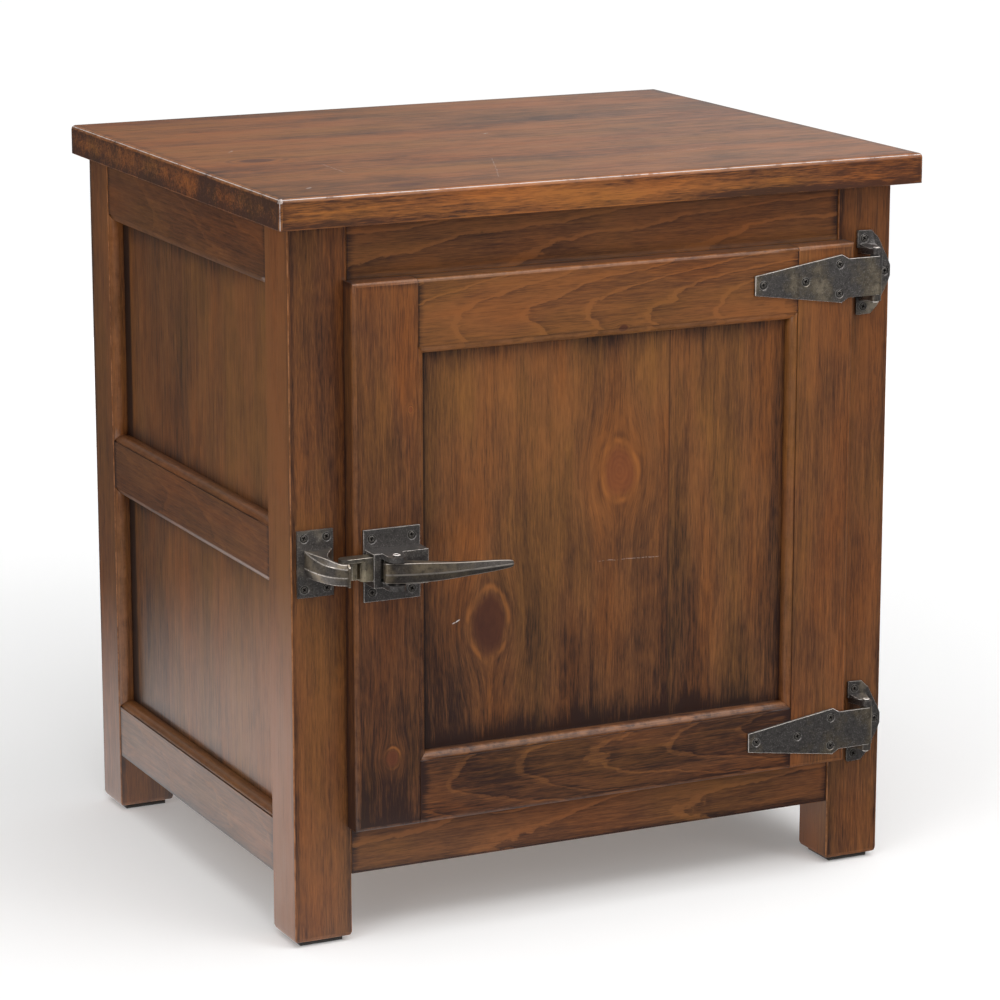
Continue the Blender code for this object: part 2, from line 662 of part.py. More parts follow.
def add_latch_lever(axis):
    """The lever, with a finger behind it that works the bolt."""
    lever = add_piece("latch_lever", lever_mesh(), "bronze", axis, 25)
    web = block((PIVOT_X - 1.2, PIVOT_Y + 3.5, LATCH_Z - 4.0),
                (PIVOT_X + 1.2, PIVOT_Y + FINGER_ARM, LATCH_Z + 4.0))
    combine(lever, add_tool("lever_web", web), "UNION")
    finger = rod((PIVOT_X, PIVOT_Y + FINGER_ARM, LATCH_Z), FINGER_RADIUS, 4.5)
    combine(lever, add_tool("lever_finger", finger), "UNION")
    bore = rod((PIVOT_X, PIVOT_Y, LATCH_Z), PIVOT_BORE, 20)
    combine(lever, add_tool("lever_bore", bore), "DIFFERENCE")


def add_latch_bolt(axis):
    """Sliding bolt: nose and top tongue outside the case, slotted tail inside it."""
    front, back = BOLT_Y
    low, high = LATCH_Z - BOLT_HALF, LATCH_Z + BOLT_HALF
    left, right = BOLT_SHOULDER_X
    corner = arc((left + 4.5, front + 4.5), 4.5, 180, 270, 5)
    shoulder = prism(corner + [(right, front), (right, back), (left, back)], 2, low, high)
    bolt = add_piece("latch_bolt", shoulder, "worn_brass", axis, 35)
    left, right = BOLT_TONGUE_X
    end = (back - front) / 2
    tongue = arc((left + end, front + end), end, 90, 270, 10) + [(right, front), (right, back)]
    tongue = prism(tongue, 2, high - 0.1, high + BOLT_TONGUE_THICKNESS)
    nose = [(36.0, -30.5), (38.0, -33.0), (46.0, -33.0), (46.0, -25.5), (36.0, -25.5)]
    nose = prism(nose, 2, low + 1.5, high - 1.0)
    tail = block((BOLT_TAIL_X[0], BOLT_TAIL_FRONT, LATCH_Z - BOLT_TAIL_HALF),
                 (BOLT_TAIL_X[1], back, LATCH_Z + BOLT_TAIL_HALF))
    for name, mesh in (("bolt_tongue", tongue), ("bolt_nose", nose), ("bolt_tail", tail)):
        combine(bolt, add_tool(name, mesh), "UNION")
    reach = FINGER_RADIUS + 0.7
    finger_y = PIVOT_Y + FINGER_ARM
    slot = block((PIVOT_X - reach, BOLT_TAIL_FRONT - 1.5, LATCH_Z - 9.0),
                 (PIVOT_X + reach, finger_y + reach, LATCH_Z + 9.0))
    combine(bolt, add_tool("bolt_slot", slot), "DIFFERENCE")


def add_latch_spring(axis):
    """Compression spring between the bolt's tail and the end of the case."""
    coil_radius, wire = 2.6, 0.45
    turns, steps, sides = 5, 12, 6
    start, end = BOLT_TAIL_X[1] + 0.4 + wire, BOLT_ROOM_END - 0.4 - wire
    middle_y = BOLT_Y[1] - 3.6
    rings = []
    for i in range(turns * steps + 1):
        angle = 2 * pi * i / steps
        x = start + (end - start) * i / (turns * steps)
        ring = []
        for j in range(sides):
            turn = 2 * pi * j / sides
            radius = coil_radius + wire * cos(turn)
            ring.append((x + wire * sin(turn), middle_y + radius * cos(angle), LATCH_Z + radius * sin(angle)))
        rings.append(ring)
    add_piece("latch_spring", loft(rings), "screw_steel", axis, 60)


STRIKE_SECTIONS = [            # outer x, y; inner x, y; heights of underside, mid ridge, upper ridge, top
    (10.3, -1.5, 34.8, -1.5, 304.9, 312.7, 326.2, 326.6),
    (10.9, -8.0, 30.5, -8.0, 304.9, 312.5, 325.0, 326.4),
    (12.4, -16.0, 25.6, -15.0, 304.7, 312.1, 323.0, 326.0),
    (15.2, -24.5, 22.6, -22.0, 304.5, 311.7, 320.8, 325.2),
    (18.5, -30.5, 23.0, -27.0, 304.3, 311.4, 319.6, 324.2),
    (23.0, -35.2, 25.6, -31.3, 304.0, 311.0, 318.6, 322.6),
    (28.0, -37.8, 29.3, -33.6, 303.8, 310.6, 317.6, 321.2),
    (34.0, -39.2, 34.0, -34.8, 303.5, 310.2, 316.6, 321.0)]


def strike_arm_mesh():
    """Hooked arm of the strike, with two ridges along its front."""
    rings = []
    for ox, oy, ix, iy, under, middle, upper, top in STRIKE_SECTIONS:
        outer, inner = Vector((ox, oy, 0)), Vector((ix, iy, 0))
        across = inner - outer
        inset = across.normalized() * min(2.4, across.length * 0.45)
        rise = inset * min(1, (top - upper) / 4.4)
        points = [(outer + inset, under), (outer, middle), (outer, upper), (outer + rise, top),
                  (inner, top), (inner, under)]
        rings.append([(point.x, point.y, z) for point, z in points])
    return loft(rings)


def add_strike(leg):
    """Keeper plate with the hooked arm that the latch's nose closes against."""
    plate = block((STRIKE_X[0], -STRIKE_THICKNESS, STRIKE_Z[0]), (STRIKE_X[1], -PLATE_SEAT, STRIKE_Z[1]))
    strike = add_piece("strike", plate, "bronze")
    combine(strike, add_tool("strike_arm", strike_arm_mesh()), "UNION")
    drill_for_screws("strike", STRIKE_SCREWS, -STRIKE_THICKNESS, [strike, leg])


# ---------------------------------------------------------------- assembly

def build():
    clear_scene()
    add_tabletop()
    legs = {(side, end): add_leg(side, end) for side in ("left", "right") for end in ("front", "back")}
    for side in ("left", "right"):
        add_side_frame(side)
    add_front_and_back()
    add_floor()
    door_axis = axis_empty("door_axis", (HINGE_X, HINGE_Y, LATCH_Z))
    door = add_door(door_axis)
    for level in HINGE_HEIGHTS:
        add_hinge(level, door_axis, door, legs["right", "front"])
    lever_axis = axis_empty("lever_axis", (PIVOT_X, PIVOT_Y, LATCH_Z), door_axis)
    add_latch_case(door_axis, door["left"])
    add_latch_pivot(door_axis)
    add_latch_lever(lever_axis)
    add_latch_bolt(door_axis)
    add_latch_spring(door_axis)
    add_strike(legs["left", "front"])


build()
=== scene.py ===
"""Looks of the side cabinet table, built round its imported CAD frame.

Lengths are metres, unless a comment says otherwise or they are multiplied by MM.
Wood is a solid texture: u runs along a board's grain, v across its width and w through it,
in mm from the middle of the board.
"""

import json
import random
from math import cos, pi, radians, sin

import bmesh
import bpy
from mathutils import Matrix, Vector, noise

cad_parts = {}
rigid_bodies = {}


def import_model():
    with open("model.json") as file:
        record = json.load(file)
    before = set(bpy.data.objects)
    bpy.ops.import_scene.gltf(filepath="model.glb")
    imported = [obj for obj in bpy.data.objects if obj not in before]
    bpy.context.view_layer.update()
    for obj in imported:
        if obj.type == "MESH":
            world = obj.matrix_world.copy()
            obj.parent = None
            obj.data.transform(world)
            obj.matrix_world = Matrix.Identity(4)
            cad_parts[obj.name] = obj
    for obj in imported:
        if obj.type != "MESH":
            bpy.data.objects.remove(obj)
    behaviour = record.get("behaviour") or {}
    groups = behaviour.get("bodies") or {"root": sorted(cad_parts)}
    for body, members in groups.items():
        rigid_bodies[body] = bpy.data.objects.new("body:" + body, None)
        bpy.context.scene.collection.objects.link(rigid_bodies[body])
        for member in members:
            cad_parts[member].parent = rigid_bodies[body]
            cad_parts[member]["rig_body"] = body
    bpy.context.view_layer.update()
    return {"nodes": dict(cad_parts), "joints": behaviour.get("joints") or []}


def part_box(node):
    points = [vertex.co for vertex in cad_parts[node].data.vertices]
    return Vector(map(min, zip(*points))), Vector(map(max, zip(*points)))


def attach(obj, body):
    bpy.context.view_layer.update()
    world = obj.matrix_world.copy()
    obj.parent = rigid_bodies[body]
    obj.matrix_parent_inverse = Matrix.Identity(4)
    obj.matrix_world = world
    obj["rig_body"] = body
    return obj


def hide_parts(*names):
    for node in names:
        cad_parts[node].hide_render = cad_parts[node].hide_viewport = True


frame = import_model()
NODES = frame["nodes"]
JOINTS = {joint["name"]: joint for joint in frame["joints"]}
MM = 0.001
# Values of the loop attribute "worn"
WORN_EDGE = 0.5                # a rubbed edge; on metal it is also painted bright as a highlight
WORN_CORNER = 0.78             # a corner that is rubbed through here and there
BARE_EDGE_AND_HIGHLIGHT = 1.0                # an edge rubbed down to pale wood, or to bright metal, and painted bright as a highlight too
WORN_AND_HIGHLIT_SLANT = 0.36               # a moulding that looks forward and up: rubbed, with a painted highlight as well
SLANT = 0.12                   # any other moulding or round
SHADED_HOLLOW = -1.0                  # the walls and floor of a small hollow, painted dark as shade
SLIVER = 0.005 * MM            # edges shorter than this are taken out of the metal pieces

# The camera's place in metres, its angles in degrees and its lens in mm
CAMERA_PLACE = (-1.3959, -2.8916, 1.0611)
CAMERA_YAW = 25.825
CAMERA_PITCH = 13.286
CAMERA_LENS = 138.11


# ---------------- node helpers

def fill_in(tree, node, inputs):
    """Set a node's inputs, or link them where the value is a socket."""
    for key, value in inputs.items():
        if isinstance(value, bpy.types.NodeSocket):
            tree.links.new(value, node.inputs[key])
        else:
            node.inputs[key].default_value = value


def add(tree, kind, inputs=None, **settings):
    """A new node with its settings; inputs holds values or sockets to link."""
    made = tree.nodes.new(kind)
    for key, value in settings.items():
        setattr(made, key, value)
    fill_in(tree, made, inputs or {})
    return made


def calc(tree, operation, a, b=0.0, c=0.0, clamp=False):
    made = add(tree, "ShaderNodeMath", {0: a, 1: b, 2: c}, operation=operation, use_clamp=clamp)
    return made.outputs[0]


def times(tree, a, b):
    return calc(tree, "MULTIPLY", a, b)


def plus(tree, a, b):
    return calc(tree, "ADD", a, b)


def times_plus(tree, a, b, c, clamp=False):
    """a times b, plus c."""
    return calc(tree, "MULTIPLY_ADD", a, b, c, clamp)


def away_from(tree, value, centre):
    """How far value is from centre, either way."""
    return calc(tree, "ABSOLUTE", calc(tree, "SUBTRACT", value, centre))


def vector_calc(tree, operation, a, b=(0, 0, 0), c=(0, 0, 0)):
    return add(tree, "ShaderNodeVectorMath", {0: a, 1: b, 2: c}, operation=operation).outputs[0]


def dot_product(tree, a, b):
    made = add(tree, "ShaderNodeVectorMath", {0: a, 1: b}, operation="DOT_PRODUCT")
    return made.outputs["Value"]


def split(tree, vector):
    """The three parts of a vector."""
    return add(tree, "ShaderNodeSeparateXYZ", {0: vector}).outputs


def joined(tree, parts):
    """A vector from a dictionary of its parts."""
    return add(tree, "ShaderNodeCombineXYZ", parts).outputs[0]


def noise_at(tree, place, stretch, detail=2.0, roughness=0.5):
    """Noise between 0 and 1, with the number of waves for each unit along u, v and w."""
    spot = vector_calc(tree, "MULTIPLY", place, stretch)
    made = add(tree, "ShaderNodeTexNoise",
               {"Vector": spot, "Scale": 1.0, "Detail": detail, "Roughness": roughness})
    return made.outputs["Fac"]


def fade(tree, value, start, end, low=0.0, high=1.0):
    """Smooth step of value from low at start to high at end."""
    made = add(tree, "ShaderNodeMapRange",
               {"Value": value, "From Min": start, "From Max": end, "To Min": low, "To Max": high},
               interpolation_type="SMOOTHSTEP")
    return made.outputs["Result"]


def mix(tree, factor, a, b, blend="MIX"):
    made = tree.nodes.new("ShaderNodeMix")
    made.data_type = "RGBA"
    made.blend_type = blend
    made.clamp_factor = True
    sockets = {"Factor": made.inputs[0], "A": made.inputs[6], "B": made.inputs[7]}
    for key, value in (("Factor", factor), ("A", a), ("B", b)):
        if isinstance(value, bpy.types.NodeSocket):
            tree.links.new(value, sockets[key])
        elif key == "Factor":
            sockets[key].default_value = value
        else:
            sockets[key].default_value = (*value, 1.0)
    return made.outputs[2]


def new_group(name, inputs, outputs):
    group = bpy.data.node_groups.new(name, "ShaderNodeTree")
    for title, kind in inputs.items():
        group.interface.new_socket(title, in_out="INPUT", socket_type="NodeSocket" + kind)
    for title, kind in outputs.items():
        group.interface.new_socket(title, in_out="OUTPUT", socket_type="NodeSocket" + kind)
    return group, group.nodes.new("NodeGroupInput").outputs, group.nodes.new("NodeGroupOutput").inputs


def bump(tree, shader, height, strength, distance):
    made = add(tree, "ShaderNodeBump", {"Strength": strength, "Distance": distance, "Height": height})
    tree.links.new(made.outputs[0], shader.inputs["Normal"])


def new_object(name, data):
    piece = bpy.data.objects.new(name, data)
    bpy.context.scene.collection.objects.link(piece)
    return piece


def object_place(tree):
    return add(tree, "ShaderNodeTexCoord").outputs["Object"]


def worn_attribute(tree):
    """The value of "worn", and a mask that is full on anything from a rubbed edge up."""
    worn = add(tree, "ShaderNodeAttribute", attribute_name="worn").outputs["Fac"]
    return worn, calc(tree, "MULTIPLY", worn, 2.0, clamp=True)


def new_material(name):
    material = bpy.data.materials.new(name)
    material.use_nodes = True
    tree = material.node_tree
    return material, tree, tree.nodes["Principled BSDF"]


# ---------------- wood

def knot_group():
    """Bends the grain round an oval knot and gives masks for its heart, its rim and its halo."""
    tree, given, result = new_group(
        "pine_knot", {"Place": "Vector", "Centre": "Vector", "Size": "Vector"},
        {"Place": "Vector", "Heart": "Float", "Rim": "Float", "Glow": "Float", "Halo": "Float",
         "Rings": "Float"})
    wobble = noise_at(tree, given["Place"], (0.03, 0.06, 0.06), 3.0)
    patchy = noise_at(tree, given["Place"], (0.04, 0.05, 0.05), 2.0)
    away = vector_calc(tree, "SUBTRACT", given["Place"], given["Centre"])
    scaled = vector_calc(tree, "DIVIDE", away, given["Size"])
    along, across, _ = split(tree, scaled)
    square = plus(tree, times(tree, along, along), times(tree, across, across))
    distance = plus(tree, calc(tree, "SQRT", square), times_plus(tree, wobble, 0.7, -0.35))
    push = times(tree, calc(tree, "EXPONENT", times(tree, square, -0.30)), -0.93)
    shift = vector_calc(tree, "MULTIPLY", away, (0.0, 1.0, 0.0))
    scale = add(tree, "ShaderNodeVectorMath", {0: shift, "Scale": push}, operation="SCALE").outputs[0]
    tree.links.new(vector_calc(tree, "ADD", given["Place"], scale), result["Place"])
    tree.links.new(fade(tree, distance, 1.15, 0.66), result["Heart"])
    for title, where, sharpness in (("Rim", 1.42, 6.0), ("Glow", 1.18, 8.0)):
        near = times(tree, calc(tree, "SUBTRACT", distance, where), sharpness)
        near = calc(tree, "EXPONENT", times(tree, times(tree, near, near), -1.0))
        near = times(tree, near, fade(tree, patchy, 0.40, 0.62, 0.15, 1.0))
        tree.links.new(near, result[title])
    tree.links.new(fade(tree, distance, 3.0, 1.2), result["Halo"])
    rings = calc(tree, "SINE", times(tree, distance, 26.0))
    tree.links.new(rings, result["Rings"])
    return tree


# Noise fields of the wood: stretch along and across the grain, detail, roughness and weight in the tone
WOOD_FIELDS = {
    "broad": (0.004, 0.017, 3.0, 0.55, 1.05),
    "streak": (0.0045, 0.13, 4.0, 0.6, 0.66),
    "fibre": (0.018, 0.42, 3.0, 0.6, 0.72),
    "pore": (0.07, 1.1, 3.0, 0.65, 1.30),
    "mottle": (0.02, 0.035, 3.0, 0.6, 0.55),
}
RING_CURVE = ((0.05, 0.42), (0.50, 0.50), (0.76, 0.58), (0.86, 0.68), (0.91, 0.02))
WARM_TINT = (1.09, 0.96, 0.76)
OLIVE_TINT = (0.94, 1.02, 0.86)


def wood_noise(tree, spot, along, across, detail=2.0, roughness=0.5):
    return noise_at(tree, spot, (along, across, across), detail, roughness)


def growth_rings(tree, spot, given):
    """The tone within a year's ring, darkest just before its end, and a random number a year."""
    u, v, w = split(tree, given["Place"])
    heart_v, heart_w, tilt = split(tree, given["Heart"])
    wander = times_plus(tree, wood_noise(tree, spot, 0.0035, 0.009), 30.0, -15.0)
    wiggle = times_plus(tree, wood_noise(tree, spot, 0.016, 0.05), 7.0, -3.5)
    teeth = times_plus(tree, wood_noise(tree, spot, 0.12, 0.20, 3.0), 1.8, -0.9)
    across = plus(tree, calc(tree, "SUBTRACT", v, heart_v), wander)
    depth = plus(tree, calc(tree, "SUBTRACT", w, heart_w), times(tree, u, tilt))
    square = plus(tree, times(tree, across, across), times(tree, depth, depth))
    radius = plus(tree, calc(tree, "SQRT", square), plus(tree, wiggle, teeth))
    phase = calc(tree, "DIVIDE", radius, given["Pitch"])
    which = plus(tree, calc(tree, "FLOOR", phase), given["Seed"])
    year = add(tree, "ShaderNodeTexWhiteNoise", {"W": which}, noise_dimensions="1D").outputs["Value"]
    band = add(tree, "ShaderNodeFloatCurve", {"Value": calc(tree, "FRACT", phase)})
    points = band.mapping.curves[0].points
    points[0].location = (0.0, 0.05)
    points[1].location = (1.0, 0.05)
    for location in RING_CURVE:
        points.new(*location)
    band.mapping.update()
    return band.outputs["Value"], year


def board_edges(tree, given, facing, mottle):
    """Masks for a dark uneven margin along a board's edges, and for a thin line at its joints."""
    room = vector_calc(tree, "SUBTRACT", given["Half"], vector_calc(tree, "ABSOLUTE", given["Flat"]))
    room = split(tree, vector_calc(tree, "MULTIPLY_ADD", facing, (900.0,) * 3, room))
    inside = calc(tree, "MINIMUM", calc(tree, "MINIMUM", room[0], room[1]), room[2])
    rim = times(tree, fade(tree, inside, 1.7, 0.5), given["Rim"])
    uneven = times_plus(tree, mottle, 1.6, -0.8)
    inside = plus(tree, inside, times(tree, uneven, given["Margin"]))
    return fade(tree, inside, 0.0, given["Margin"], 1.0, 0.0), rim


def pine_group():
    """Stained pine: growth rings round a heart, fibres, broad stain patches and dark margins."""
    vectors = dict.fromkeys(("Place", "Flat", "Facing", "Heart", "Half", "Flank"), "Vector")
    numbers = dict.fromkeys(("Seed", "Pitch", "Margin", "Rings", "Shift", "Fall", "Lean", "Contrast",
                             "Rim"), "Float")
    tree, given, result = new_group(
        "stained_pine", {**vectors, **numbers, "Light": "Color", "Dark": "Color"},
        {"Color": "Color", "Roughness": "Float", "Height": "Float"})
    seed, strength = given["Seed"], given["Rings"]
    jump = joined(tree, {i: times(tree, seed, rate) for i, rate in enumerate((171.3, 53.7, 97.1))})
    spot = vector_calc(tree, "ADD", given["Place"], jump)
    band, year = growth_rings(tree, spot, given)
    fields = {name: wood_noise(tree, spot, *row[:4]) for name, row in WOOD_FIELDS.items()}
    facing = vector_calc(tree, "MULTIPLY", given["Facing"], given["Facing"])
    edge, rim = board_edges(tree, given, facing, fields["mottle"])

    tone = times_plus(tree, calc(tree, "SUBTRACT", band, 0.5), times(tree, strength, 0.60), 0.36)
    tone = times_plus(tree, calc(tree, "SUBTRACT", year, 0.5), times(tree, strength, 0.14), tone)
    for name, row in WOOD_FIELDS.items():
        amount = times(tree, given["Contrast"], row[4])
        tone = times_plus(tree, calc(tree, "SUBTRACT", fields[name], 0.5), amount, tone)
    tone = times_plus(tree, edge, 0.45, tone)
    for more in (rim, given["Shift"], dot_product(tree, facing, given["Flank"])):
        tone = plus(tree, tone, more)
    low_end, aside, _ = split(tree, vector_calc(tree, "DIVIDE", given["Flat"], given["Half"]))
    tone = times_plus(tree, aside, given["Lean"], tone)
    tone = times_plus(tree, low_end, times(tree, given["Fall"], -1.0), tone, clamp=True)
    colour = mix(tree, tone, given["Light"], given["Dark"])
    hue = wood_noise(tree, spot, 0.006, 0.022, 3.0)
    colour = mix(tree, fade(tree, hue, 0.46, 0.70, 0.0, 1.0), colour, WARM_TINT, "MULTIPLY")
    colour = mix(tree, fade(tree, hue, 0.52, 0.32, 0.0, 0.8), colour, OLIVE_TINT, "MULTIPLY")
    tree.links.new(colour, result["Color"])
    rough = times_plus(tree, fields["fibre"], 0.16, 0.26)
    tree.links.new(times_plus(tree, fields["mottle"], 0.18, rough), result["Roughness"])
    height = times_plus(tree, fields["pore"], 0.5, times(tree, fields["fibre"], 0.6))
    height = times_plus(tree, band, times(tree, strength, -0.35), height)
    tree.links.new(height, result["Height"])
    return tree


PINE = pine_group()
KNOT = knot_group()
TONES = {                      # light and dark end of each stain, linear
    "top": ((0.345, 0.118, 0.027), (0.064, 0.024, 0.013)),
    "frame": ((0.235, 0.084, 0.022), (0.030, 0.0120, 0.0090)),
    "panel": ((0.245, 0.092, 0.024), (0.028, 0.0120, 0.0090)),
    "inner": ((0.26, 0.15, 0.075), (0.09, 0.046, 0.022)),
}
KNOT_HEART = (0.215, 0.058, 0.018)
KNOT_DARK = (0.052, 0.015, 0.010)
KNOT_EDGE = (0.030, 0.012, 0.009)
KNOT_GLOW = (0.34, 0.115, 0.022)
WORN_WOOD_AND_HIGHLIGHT = (0.42, 0.18, 0.075)
PALE_WOOD_AND_HIGHLIGHT = (0.74, 0.70, 0.68)
PAINTED_SHADE = (0.012, 0.008, 0.008)


def reordered(tree, vector, order):
    parts = split(tree, vector)
    return joined(tree, {slot: parts[i] for slot, i in enumerate(order)})


def scratch_mask(tree, place, start, end, width):
    """A thin wavering line from start to end, both (u, v) in mm."""
    first, last = Vector((*start, 0)), Vector((*end, 0))
    along = (last - first).normalized()
    offset = vector_calc(tree, "SUBTRACT", place, first)
    run = dot_product(tree, offset, along)
    away = dot_product(tree, offset, Vector((-along.y, along.x, 0)))
    waver = noise_at(tree, place, (0.09,) * 3, 2.0)
    away = calc(tree, "ABSOLUTE", plus(tree, away, times_plus(tree, waver, 3.0, -1.5)))
    line = fade(tree, away, width, width * 0.4)
    length = (last - first).length
    middle = away_from(tree, run, length / 2)
    line = times(tree, line, fade(tree, middle, length / 2, length * 0.42))
    broken = noise_at(tree, place, (0.35,) * 3, 2.0)
    return times(tree, line, fade(tree, broken, 0.38, 0.55))


def bend_round_knots(tree, place, knots):
    """Where the grain comes from once it has bent round the knots, and each knot's masks."""
    masks = []
    for along, width, long_half, wide_half, darkness in knots:
        knot = add(tree, "ShaderNodeGroup", node_tree=KNOT)
        fill_in(tree, knot, {"Place": place, "Centre": (along, width, 0.0),
                             "Size": (long_half, wide_half, 1000.0)})
        place = knot.outputs["Place"]
        masks.append((knot.outputs, darkness))
    return place, masks


def glued_staves(tree, across, joints):
    """A number for each stave between the glue joints, and a mask for the joints."""
    stave, seam = 0.0, 0.0
    for number, joint in enumerate(joints):
        beyond = calc(tree, "GREATER_THAN", across, joint)
        stave = times_plus(tree, beyond, 2.7 + 1.3 * number, stave)
        near = fade(tree, away_from(tree, across, joint), 1.3, 0.1, 0.0, 0.6)
        seam = calc(tree, "MAXIMUM", seam, near) if number else near
    return stave, seam


def paint_knots(tree, colour, masks):
    """Dark or orange hearts with faint rings, a thin dark rim and a warm glow round them."""
    for out, darkness in masks:
        colour = mix(tree, times(tree, out["Halo"], 0.22 * (1 - darkness)), colour, KNOT_GLOW)
        heart = mix(tree, darkness, KNOT_HEART, KNOT_DARK)
        heart = mix(tree, times_plus(tree, out["Rings"], 0.12, 0.14), heart, KNOT_DARK)
        colour = mix(tree, times(tree, out["Heart"], 0.62 + 0.22 * darkness), colour, heart)
        colour = mix(tree, times(tree, out["Rim"], 0.40), colour, KNOT_EDGE)
        colour = mix(tree, times(tree, out["Glow"], 0.55), colour, KNOT_GLOW)
    return colour


def weathered(tree, colour, raw, flat, scratches, wear, pale):
    """Rubbed edges, with a painted highlight on the mouldings that look forward and up; scratches; and bare
    wood with a painted highlight on the edges that are worn most.
    """
    chips = noise_at(tree, raw, (90.0,) * 3, 4.0, 0.65)
    worn, any_wear = worn_attribute(tree)
    # Rubbed edges go lighter; on mouldings that look forward and up this is a painted highlight along with
    # the wear.
    rubbed = times(tree, any_wear, fade(tree, chips, 0.36, 0.62, 0.0, wear))
    colour = mix(tree, rubbed, colour, WORN_WOOD_AND_HIGHLIGHT)
    for start, end, width, strength in scratches:
        line = scratch_mask(tree, flat, start, end, width)
        colour = mix(tree, times(tree, line, strength), colour, PALE_WOOD_AND_HIGHLIGHT)
    # The edges marked bare go pale: worn wood, and a painted highlight line.
    if pale:
        bare = times(tree, fade(tree, worn, 0.6, 0.9), fade(tree, chips, 0.34, 0.50, 0.25 * pale, pale))
        colour = mix(tree, bare, colour, PALE_WOOD_AND_HIGHLIGHT)
    return colour


def pine(name, node, axes, tone, seed, heart=(8, 60, 0.03), pitch=5.0, margin=14.0, rings=1.0,
         knots=(), joints=(), scratches=(), crevices=(), shift=0.0, fall=0.0, lean=0.0,
         flank=(0, 0, 0), contrast=1.0, rim=0.4, wear=0.5, pale=0.0):
    """Material for one board; axes gives the grain, width and thickness axes as letters.

    heart is where the growth rings centre, in mm across and through the board, and how fast
    it drifts along the grain. knots are (u, v, half length, half width, darkness) in mm.
    joints are the places across the board, in mm, of glued edges between its staves.
    scratches are (start, end, width, strength) and crevices, painted shadow lines along the board where a
    moulding shades it, (v, half width, strength), in mm. wear and pale say how far worn edges go brown, and
    how far they go bare with a painted highlight on them. margin is the width of the dark edges, and rings
    how much the year rings show.
    shift darkens the whole board, fall darkens it towards its low end, lean towards its high side, flank
    the faces that look along each of its axes, which gives the top darker end grain and the front legs'
    sides a painted light, and rim a thin line at its joints.
    """
    material, tree, shader = new_material(name)
    low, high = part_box(node)
    centre, half = (low + high) / 2 / MM, (high - low) / 2 / MM
    order = ["XYZ".index(letter) for letter in axes]
    raw = object_place(tree)
    facing = reordered(tree, add(tree, "ShaderNodeTexCoord").outputs["Normal"], order)
    middle = [-centre[i] for i in order]
    flat = vector_calc(tree, "MULTIPLY_ADD", reordered(tree, raw, order), (1 / MM,) * 3, middle)
    across = split(tree, flat)[1]
    place, masks = bend_round_knots(tree, flat, knots)
    stave, seam = glued_staves(tree, across, joints)
    if joints:
        jump = joined(tree, {0: times(tree, stave, 61.0), 2: times(tree, stave, 4.0)})
        place = vector_calc(tree, "ADD", place, jump)
        seed = plus(tree, stave, seed)
    light, dark = TONES[tone]
    grain = add(tree, "ShaderNodeGroup", node_tree=PINE)
    fill_in(tree, grain, {
        "Place": place, "Flat": flat, "Facing": facing, "Seed": seed, "Heart": heart, "Pitch": pitch,
        "Half": [half[i] for i in order], "Margin": margin, "Rings": rings, "Shift": shift, "Fall": fall,
        "Lean": lean, "Flank": flank, "Contrast": contrast, "Rim": rim,
        "Light": (*light, 1.0), "Dark": (*dark, 1.0)})
    colour = grain.outputs["Color"]
    if joints:
        colour = mix(tree, seam, colour, dark)
    # Painted shadow: a near-black line where a moulding shades the board.
    for line_v, half_width, strength in crevices:
        near = away_from(tree, across, line_v)
        colour = mix(tree, fade(tree, near, half_width, half_width / 2, 0.0, strength), colour, PAINTED_SHADE)
    colour = paint_knots(tree, colour, masks)
    colour = weathered(tree, colour, raw, flat, scratches, wear, pale)
    fill_in(tree, shader, {"Base Color": colour, "Roughness": grain.outputs["Roughness"],
                           "Specular IOR Level": 0.22, "Coat Weight": 0.5, "Coat Roughness": 0.17})
    bump(tree, shader, grain.outputs["Height"], 0.35, 0.00035)
    return material


# ---------------- metal and felt

def aged_metal(name, dark, warm, bright, seed, patches=0.5, roughness=0.36, bare=0.5):
    """Antiqued metal: dark patina, warm patches, painted highlight patches, rubbed edges that are also
    painted bright as highlights, painted shade in small hollows, and a fine cast surface.

    bare is how far a rubbed edge loses the look of polished metal and turns pale and dull, so that its
    painted highlight shows from every side.
    """
    material, tree, shader = new_material(name)
    spot = vector_calc(tree, "ADD", object_place(tree), (seed * 1.37, seed * 2.11, seed * 0.73))
    broad = noise_at(tree, spot, (38.0, 38.0, 30.0), 3.0, 0.55)
    fine = noise_at(tree, spot, (900.0,) * 3, 3.0, 0.6)
    cast = noise_at(tree, spot, (330.0,) * 3, 3.0, 0.55)
    rub = noise_at(tree, spot, (160.0,) * 3, 3.0, 0.6)
    warmth = fade(tree, broad, 0.60 - 0.22 * patches, 0.90 - 0.2 * patches)
    speck = fade(tree, fine, 0.5, 0.75, 0.0, 0.26)
    # Painted highlights: scattered bright patches.
    shine = fade(tree, broad, 0.52, 0.74, 0.0, 0.25)
    soot = fade(tree, cast, 0.52, 0.30, 0.0, 0.5)
    worn, any_wear = worn_attribute(tree)
    # Rubbed edges: worn metal, and a painted highlight, pale and bright from every side.
    rubbed = times(tree, any_wear, fade(tree, rub, 0.26, 0.50, 0.45, 1.0))
    # Painted shade on the walls and floors of small hollows.
    hollow_shade = calc(tree, "MULTIPLY", worn, -1.0, clamp=True)
    colour = dark
    for mask, tint in ((warmth, warm), (speck, bright), (shine, bright),
                       (soot, [0.45 * channel for channel in dark]), (rubbed, bright), (hollow_shade, PAINTED_SHADE)):
        colour = mix(tree, mask, colour, tint)
    rough = times_plus(tree, cast, 0.30, roughness - 0.12)
    fill_in(tree, shader, {"Base Color": colour, "Metallic": times_plus(tree, rubbed, -bare, 0.82),
                           "Roughness": times_plus(tree, rubbed, -0.12, rough)})
    bump(tree, shader, times_plus(tree, fine, 0.35, cast), 0.30, 0.0004)
    return material


